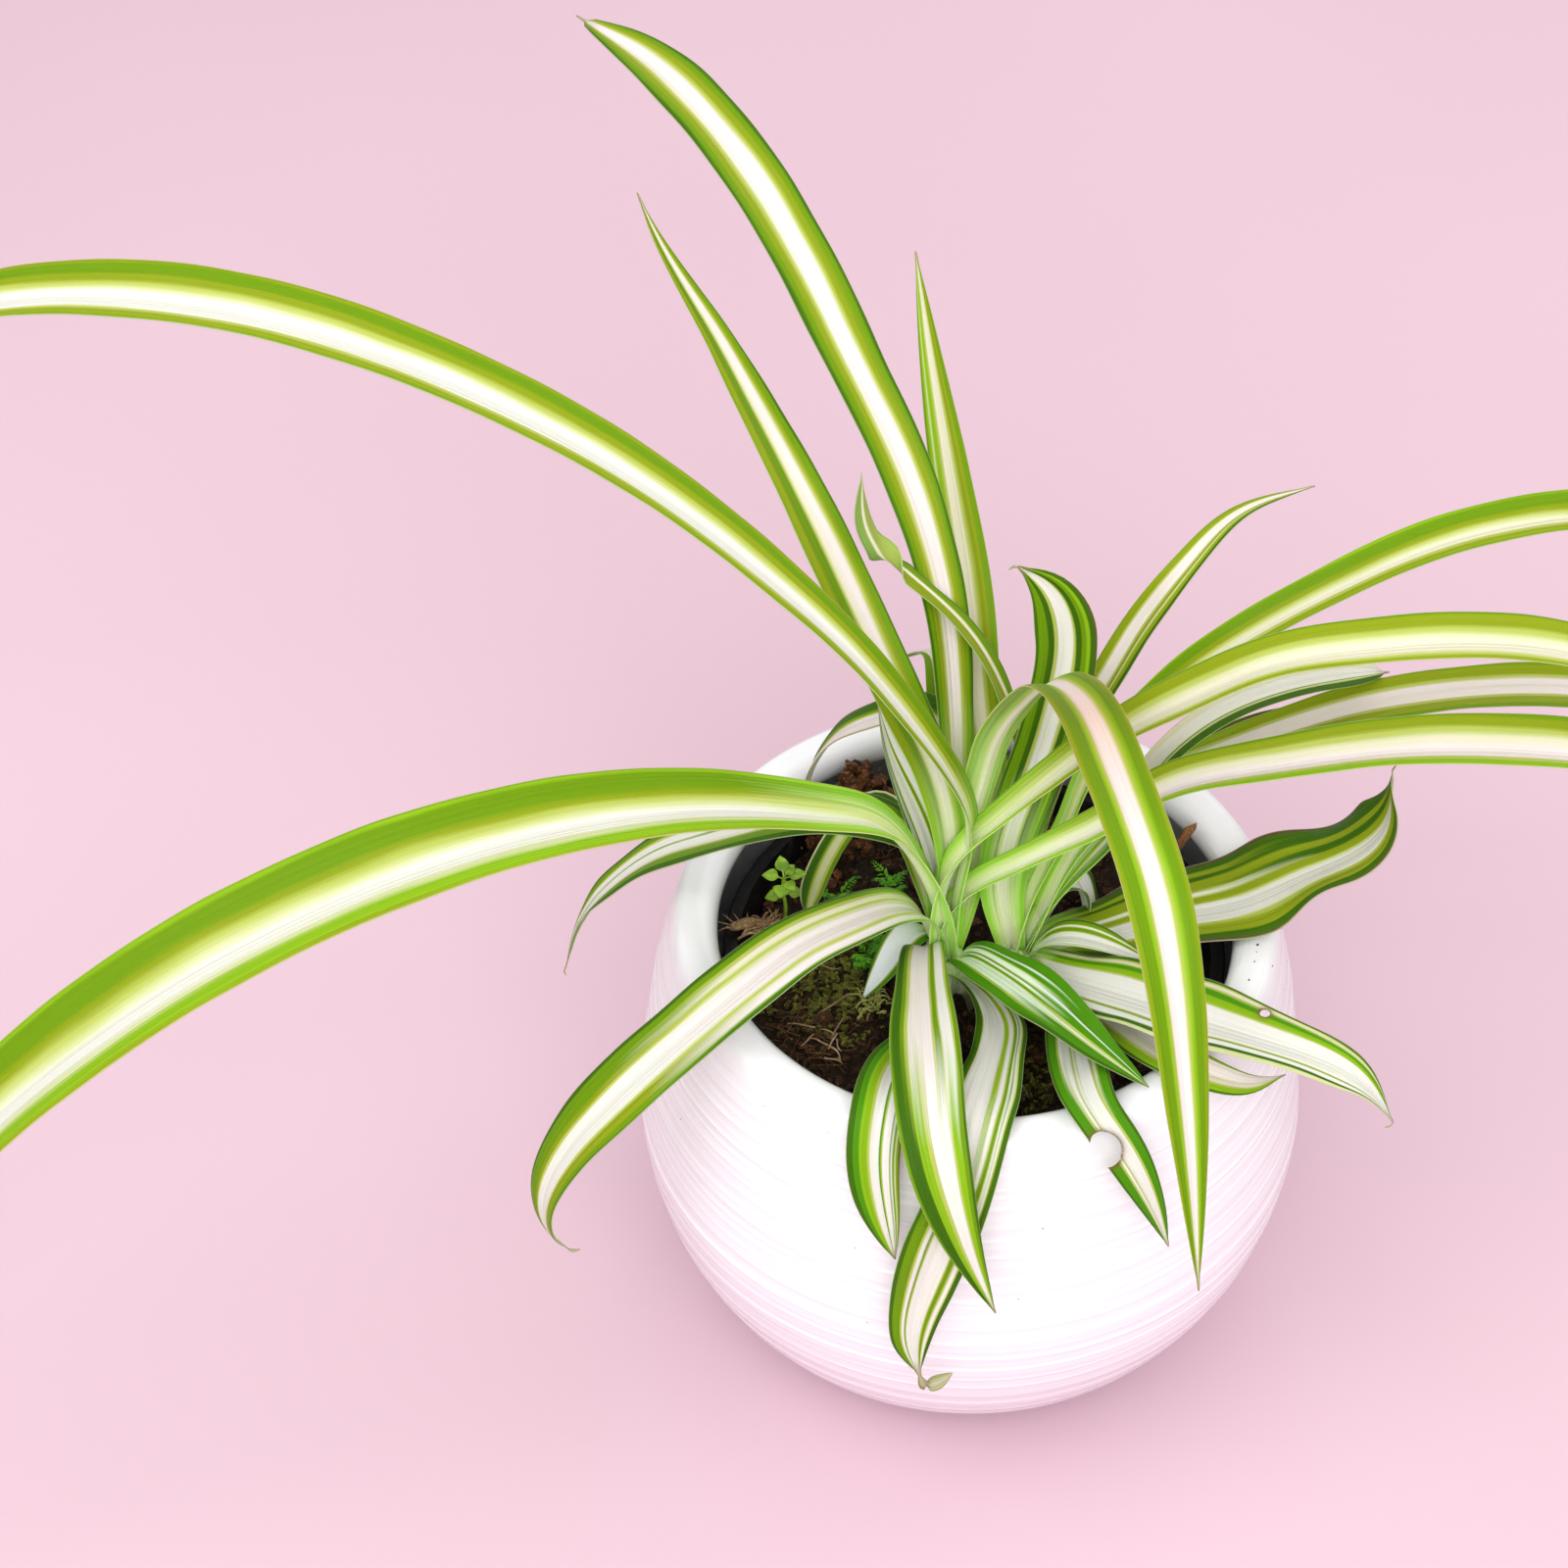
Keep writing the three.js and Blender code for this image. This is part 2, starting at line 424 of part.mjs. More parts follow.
// Directions at a place on a leaf: along it, across it, and out of its upper face.
function leafFrame(leaf, curve, t) {
  const first = leaf.course[0];
  const last = leaf.course[leaf.course.length - 1];
  const level = new THREE.Vector3(first[1] - last[1], last[0] - first[0], 0).normalize();
  const along = curve.getTangentAt(t);
  const across = level.clone().addScaledVector(along, -level.dot(along)).normalize();
  const roll = THREE.MathUtils.lerp(leaf.roll[0], leaf.roll[1], t);
  across.applyAxisAngle(along, THREE.MathUtils.degToRad(roll));
  const up = new THREE.Vector3().crossVectors(along, across).normalize();
  return { across, up };
}

// One stretch of a leaf between two shares of its length: a gutter of three points across on the
// upper face and three on the lower, split into triangles alike on both.
function leafStretch(leaf, curve, from, to) {
  const span = (to - from) * curve.getLength();
  const steps = Math.max(Math.ceil(span / STATION_SPACING), 3);
  const points = [];
  for (let i = 0; i <= steps; i += 1) {
    const t = Math.min(from + ((to - from) * i) / steps, 1);
    const centre = curve.getPointAt(t);
    const { across, up } = leafFrame(leaf, curve, t);
    const half = leafWidth(leaf, t) / 2;
    const fold = leafFold(leaf, t);
    const fade = Math.min(half / 4, 1);
    for (const face of [1, -1]) {
      for (const side of [-1, 0, 1]) {
        const phase = t * EDGE_WAVES * 2 * Math.PI + side * 1.4;
        const wave = (leaf.wave ?? 0) * fade * Math.sin(phase) * Math.abs(side);
        const thickness = side === 0 ? BLADE_THICKNESS : EDGE_THICKNESS;
        const point = centre.clone()
          .addScaledVector(across, side * half * Math.cos(fold))
          .addScaledVector(up, Math.abs(side) * half * Math.sin(fold) + wave + (face * thickness) / 2);
        points.push(point.toArray());
      }
    }
  }
  const triangles = [];
  for (let i = 0; i < steps; i += 1) {
    const here = i * 6;
    const next = here + 6;
    for (const j of [0, 1]) {
      triangles.push([here + j, next + j, next + j + 1], [here + j, next + j + 1, here + j + 1]);
      triangles.push([here + j + 3, next + j + 4, next + j + 3], [here + j + 3, here + j + 4, next + j + 4]);
    }
    triangles.push([here, here + 3, next + 3], [here, next + 3, next]);
    triangles.push([here + 2, next + 2, next + 5], [here + 2, next + 5, here + 5]);
  }
  const end = steps * 6;
  for (const j of [0, 1]) {
    triangles.push([j, j + 1, j + 4], [j, j + 4, j + 3]);
    triangles.push([end + j, end + j + 4, end + j + 1], [end + j, end + j + 3, end + j + 4]);
  }
  return geometryFrom(points, triangles);
}

function leafCurve(leaf) {
  const curve = new THREE.CatmullRomCurve3(leaf.course.map((point) => new THREE.Vector3(...point)));
  curve.arcLengthDivisions = 600;
  return curve;
}

// The blade of a leaf, from just past its foot to its tip.
function leafBlade(leaf) {
  const curve = leafCurve(leaf);
  const start = (leaf.foot + GAP) / curve.getLength();
  return leafStretch(leaf, curve, start, 1);
}

// The clump: its rootstock, with the feet of all the leaves fused to it. Bubbles shut in where feet
// meet are left out by keeping the largest piece.
function clump() {
  let solid = toSolid(rootstock(0, ROOTSTOCK.top));
  for (const leaf of LEAVES) {
    const curve = leafCurve(leaf);
    const stub = leafStretch(leaf, curve, 0, leaf.foot / curve.getLength());
    solid = solid.add(toSolid(stub));
  }
  const pieces = solid.decompose();
  pieces.sort((a, b) => b.volume() - a.volume());
  return fromSolid(pieces[0]);
}

// The weed: a thin stem in its own hole in the soil, with a pair of leaves low on it and a tuft on top.
function seedling() {
  let solid = toSolid(peg(SEEDLING.stem, SEEDLING.foot, SEEDLING.top, SEEDLING_SIDES));
  for (const leaf of SEEDLING.leaves) {
    const outline = new THREE.Shape();
    outline.moveTo(0, -0.3);
    outline.lineTo(leaf.length * 0.3, -0.35);
    outline.quadraticCurveTo(leaf.length * 0.62, -leaf.width * 0.8, leaf.length, 0);
    outline.quadraticCurveTo(leaf.length * 0.62, leaf.width * 0.8, leaf.length * 0.3, 0.35);
    outline.lineTo(0, 0.3);
    const blade = new THREE.ExtrudeGeometry(outline, { depth: 0.7, bevelEnabled: false, curveSegments: 2 });
    blade.rotateY(-THREE.MathUtils.degToRad(leaf.rise));
    blade.rotateZ(THREE.MathUtils.degToRad(leaf.bearing));
    blade.translate(0, 0, leaf.height);
    solid = solid.add(toSolid(blade));
  }
  const geometry = fromSolid(solid);
  geometry.translate(SEEDLING.x, SEEDLING.y, 0);
  return geometry;
}

// A bit of twig or bark: a five-sided section carried along its course.
function twig(bit) {
  const course = new THREE.CatmullRomCurve3(bit.course.map((point) => new THREE.Vector3(...point)));
  const section = new THREE.Shape();
  for (let i = 0; i < 5; i += 1) {
    const angle = (i / 5) * 2 * Math.PI;
    const x = bit.thick * Math.cos(angle);
    const y = bit.wide * Math.sin(angle);
    if (i === 0) {
      section.moveTo(x, y);
    } else {
      section.lineTo(x, y);
    }
  }
  return new THREE.ExtrudeGeometry(section, { steps: 7, extrudePath: course, bevelEnabled: false });
}

function finish(colour, roughness) {
  return new THREE.MeshStandardMaterial({ color: colour, roughness, metalness: 0, flatShading: true });
}

const plant = new THREE.Group();

function place(name, geometry, material) {
  const mesh = new THREE.Mesh(geometry, material);
  mesh.name = name;
  plant.add(mesh);
}

place('cover_pot', coverPot(), finish(COLOURS.pot, 0.25));
place('nursery_pot', nurseryPot(), finish(COLOURS.liner, 0.6));
place('soil', soil(), finish(COLOURS.soil, 0.95));
place('clump', clump(), finish(COLOURS.crown, 0.5));
for (const leaf of LEAVES) {
  place(leaf.name, leafBlade(leaf), finish(COLOURS.leaf, 0.45));
}
place('seedling', seedling(), finish(COLOURS.seedling, 0.5));
for (const bit of BITS) {
  place(bit.name, twig(bit), finish(COLOURS[bit.colour], 0.9));
}

export default plant;
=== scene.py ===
"""Looks of the potted spider plant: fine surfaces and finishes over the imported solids.

Sizes are millimetres in the frame of the part, turned into metres where a mesh is made. Lights and
camera stand in metres, and colours are in linear light.
"""
from types import SimpleNamespace as Namespace
import bpy
import numpy as np
from mathutils import Matrix, Vector
from numpy import (array, clip, concatenate, cos, exp, hypot, linspace, minimum, pi, radians, sin,
                   sqrt, vstack, where)


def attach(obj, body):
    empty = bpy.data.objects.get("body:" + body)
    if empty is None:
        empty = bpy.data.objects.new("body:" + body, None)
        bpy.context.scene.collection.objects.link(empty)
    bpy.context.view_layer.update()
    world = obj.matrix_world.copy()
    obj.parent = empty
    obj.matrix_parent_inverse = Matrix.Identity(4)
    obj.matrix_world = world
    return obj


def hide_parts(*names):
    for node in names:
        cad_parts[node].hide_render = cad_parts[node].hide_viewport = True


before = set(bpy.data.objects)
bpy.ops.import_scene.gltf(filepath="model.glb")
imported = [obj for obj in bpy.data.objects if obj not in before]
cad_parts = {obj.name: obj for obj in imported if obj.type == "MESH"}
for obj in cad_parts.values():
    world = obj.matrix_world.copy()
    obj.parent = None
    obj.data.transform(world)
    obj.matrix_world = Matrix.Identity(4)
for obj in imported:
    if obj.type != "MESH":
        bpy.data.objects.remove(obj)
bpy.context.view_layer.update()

MM = 0.001
TAU = 2 * pi


def turned(x, y, angle):
    """Two coordinates turned by an angle: x cos a - y sin a and x sin a + y cos a."""
    c, s = cos(angle), sin(angle)
    return x * c - y * s, x * s + y * c


def table(text):
    """Rows of numbers from text, with a comma between rows."""
    return array([row.split() for row in text.split(",")], float)


def xyz(*parts):
    """Points from their coordinates, each an array or one number for all."""
    return np.stack(np.broadcast_arrays(*parts), -1)


def circle(count):
    """So many angles, evenly round."""
    return np.arange(count) / count * TAU


def unit(vectors):
    """Each row divided by its length."""
    return vectors / np.maximum(np.linalg.norm(vectors, axis=-1, keepdims=True), 1e-9)


def ease(x, low, high):
    """0 below low, 1 above high, and 3t^2 - 2t^3 between them."""
    t = clip((np.asarray(x, float) - low) / (high - low), 0, 1)
    return t * t * (3 - 2 * t)


def spline(points, pieces=24):
    """A smooth curve through the points: centripetal Catmull-Rom, each stretch a cubic in its share."""
    p = array(points, float)
    p = vstack([2 * p[0] - p[1], p, 2 * p[-1] - p[-2]])
    gap = sqrt(np.linalg.norm(np.diff(p, axis=0), axis=1))[:, None]
    a, b, c, d = p[:-3], p[1:-2], p[2:-1], p[3:]
    before, here, after = gap[:-2], gap[1:-1], gap[2:]
    start = ((b - a) / before - (c - a) / (before + here) + (c - b) / here) * here
    end = ((c - b) / here - (d - b) / (here + after) + (d - c) / after) * here
    w = linspace(0, 1, pieces, endpoint=False)[None, :, None]
    b, c, start, end = b[:, None], c[:, None], start[:, None], end[:, None]
    curve = b + start * w + (3 * (c - b) - 2 * start - end) * w**2 + (2 * (b - c) + start + end) * w**3
    return vstack([curve.reshape(-1, p.shape[1]), p[-2]])


def even_steps(curve, count):
    """The curve read again at equal steps of its length. Also gives that length."""
    run = concatenate([[0], np.cumsum(np.linalg.norm(np.diff(curve, axis=0), axis=1))])
    at = linspace(0, run[-1], count)
    return xyz(*[np.interp(at, run, column) for column in curve.T]), run[-1]


def softened(curve, reach):
    """A running mean along an even curve, weighted by a bell curve. Beyond its ends the curve goes on
    turned about them, so that they stay where they are."""
    span = 3 * reach
    weights = exp(-0.5 * (np.arange(-span, span + 1) / reach) ** 2)
    head, tail = 2 * curve[0] - curve[span:0:-1], 2 * curve[-1] - curve[-2:-span - 2:-1]
    return xyz(*[np.convolve(column, weights / weights.sum(), "valid")
                 for column in vstack([head, curve, tail]).T])


def grid_quads(rows, columns, wrap=False):
    """Corners of the quads of a grid of points stored row by row, closed round each row if wrap."""
    i, j = np.meshgrid(np.arange(rows - 1), np.arange(columns if wrap else columns - 1), indexing="ij")
    k = (j + 1) % columns
    i, below = i * columns, (i + 1) * columns
    return xyz(i + j, below + j, below + k, i + k).reshape(-1, 4)


def tube_faces(rows, sides):
    """Quads of a tube of point rings, and the triangles from its end rings to a pole for each, which
    are stored last."""
    j = np.arange(sides)
    k = (j + 1) % sides
    pole, last = rows * sides, (rows - 1) * sides
    fans = vstack([xyz(pole, k, j), xyz(pole + 1, last + j, last + k)])
    return grid_quads(rows, sides, wrap=True)[:, ::-1], fans


def make_mesh(name, points, quads, triangles=(), uv=None, traits=None, smooth=True):
    """A mesh object from arrays: points in millimetres, rows of four and of three corners, a UV place
    and named numbers for each point. Points without a face are left out."""
    quads = np.asarray(quads, np.int32).reshape(-1, 4)
    triangles = np.asarray(triangles, np.int32).reshape(-1, 3)
    used, corners = np.unique(concatenate([quads.ravel(), triangles.ravel()]), return_inverse=True)
    counts = np.repeat([4, 3], [len(quads), len(triangles)])
    mesh = bpy.data.meshes.new(name)
    mesh.vertices.add(len(used))
    mesh.vertices.foreach_set("co", (points.reshape(-1, 3)[used] * MM).astype(np.float32).ravel())
    mesh.loops.add(len(corners))
    mesh.loops.foreach_set("vertex_index", corners.astype(np.int32))
    mesh.polygons.add(len(counts))
    mesh.polygons.foreach_set("loop_start", (np.cumsum(counts) - counts).astype(np.int32))
    mesh.polygons.foreach_set("use_smooth", np.full(len(counts), smooth))
    if uv is not None:
        layer = mesh.uv_layers.new(name="UVMap")
        layer.data.foreach_set("uv", uv.reshape(-1, 2)[used][corners].astype(np.float32).ravel())
    for trait, values in (traits or {}).items():
        layer = mesh.attributes.new(trait, "FLOAT", "POINT")
        layer.data.foreach_set("value", values.ravel()[used].astype(np.float32))
    mesh.update(calc_edges=True)
    mesh.validate()
    piece = bpy.data.objects.new(name, mesh)
    bpy.context.scene.collection.objects.link(piece)
    return piece


def settle(piece, material, slot, *instead_of):
    """Gives a piece its finish, ties it to the part's one body, and hides the parts it stands in for.
    """
    piece.data.materials.append(material)
    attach(piece, "root")
    if instead_of:
        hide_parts(*instead_of)


class Finish:
    """A node material in the making. node() adds a node with its inputs and settings, and done() links
    the last ones to the shader."""

    def __init__(self, name, **constants):
        self.material = bpy.data.materials.new(name)
        self.material.use_nodes = True
        self.tree = self.material.node_tree
        self.shader = self.tree.nodes["Principled BSDF"]
        for socket, value in constants.items():
            self.shader.inputs[socket.replace("_", " ")].default_value = value

    def node(self, kind, inputs, **settings):
        made = self.tree.nodes.new("ShaderNode" + kind)
        for key, value in settings.items():
            setattr(made, key, value)
        for key, value in inputs.items():
            socket = made.inputs[key]
            if isinstance(value, bpy.types.NodeSocket):
                self.tree.links.new(value, socket)
            else:
                socket.default_value = (*value, 1) if socket.type == "RGBA" else value
        return made

    def place(self, scale=(1000, 1000, 1000)):
        """Object coordinates, scaled, which makes them millimetres if nothing else is asked."""
        source = self.node("TexCoord", {}).outputs["Object"]
        return self.node("Mapping", {"Vector": source, "Scale": scale}).outputs[0]

    def noise(self, vector, scale=1.0, detail=2.0, roughness=0.5):
        return self.node("TexNoise", {"Vector": vector, "Scale": scale, "Detail": detail,
                                      "Roughness": roughness}).outputs["Fac"]

    def sum(self, operation, *values):
        return self.node("Math", dict(enumerate(values)), operation=operation).outputs[0]

    def plus(self, first, second):
        return self.sum("ADD", first, second)

    def times(self, first, second):
        return self.sum("MULTIPLY", first, second)

    def waver(self, value, amount):
        """A noise value less a half, times the amount, so that it goes as far down as up."""
        return self.times(self.sum("SUBTRACT", value, 0.5), amount)

    def span(self, value, low, high, to_low=0.0, to_high=1.0):
        """value carried from low..high to to_low..to_high, and held there outside it."""
        return self.node("MapRange", {"Value": value, "From Min": low, "From Max": high,
                                      "To Min": to_low, "To Max": to_high}).outputs[0]

    def mix(self, share, below, above, blend="MIX"):
        return self.node("Mix", {0: share, 6: below, 7: above}, data_type="RGBA",
                         blend_type=blend).outputs[2]

    def ramp(self, value, *stops):
        made = self.node("ValToRGB", {0: value})
        elements = made.color_ramp.elements
        elements[0].position, elements[1].position = stops[0][0], stops[-1][0]
        elements[0].color, elements[1].color = (*stops[0][1], 1), (*stops[-1][1], 1)
        for position, colour in stops[1:-1]:
            elements.new(position).color = (*colour, 1)
        return made.outputs[0]

    def trait(self, name):
        return self.node("Attribute", {}, attribute_name=name).outputs["Fac"]

    def bump(self, height, strength, distance, **under):
        return self.node("Bump", {"Height": height, "Strength": strength, "Distance": distance,
                                  **under}).outputs[0]

    def done(self, colour, roughness, *surface, **more):
        links = {"Base Color": colour, "Roughness": roughness, **dict(zip(["Normal"], surface)), **more}
        for socket, value in links.items():
            self.tree.links.new(value, self.shader.inputs[socket])
        return self.material


# ---- Leaves ----

BLADE_THICKNESS, MARGIN_THICKNESS = 0.5, 0.2
GUTTER_SOFTNESS, SHOULDER = 0.28, 0.08
TIP_WIDTH, HOOK_END = 0.8, 0.16
CLASP_FOLD, CLASP_SHARE, CLASP_REACH = 12, 0.25, 22
COURSE_STEPS, COURSE_SOFTNESS = 400, 4.0
HOOK_STEPS = 16
# Ripples of the margins: height and pitch, and the pitch of the slow sideways sway.
RIPPLES, SWAY_PITCH = ((0.3, 41.0), (0.16, 17.0)), 33.0

# Colours of the stripes across a leaf, in thousandths.
TINTS = {name: tuple(array(colour, float) / 1000) for name, *colour in map(str.split, """
dark 40 115 2, leafy 65 235 3, green 130 250 3, bright 215 390 8, olive 225 285 8, lime 400 450 95,
pale 540 575 310, cream 655 630 500, white 690 680 655, blush 705 640 645, mint 680 810 650,
ice 860 960 930, grey 430 500 330, rust 206 86 52, brown 86 65 26""".split(","))}

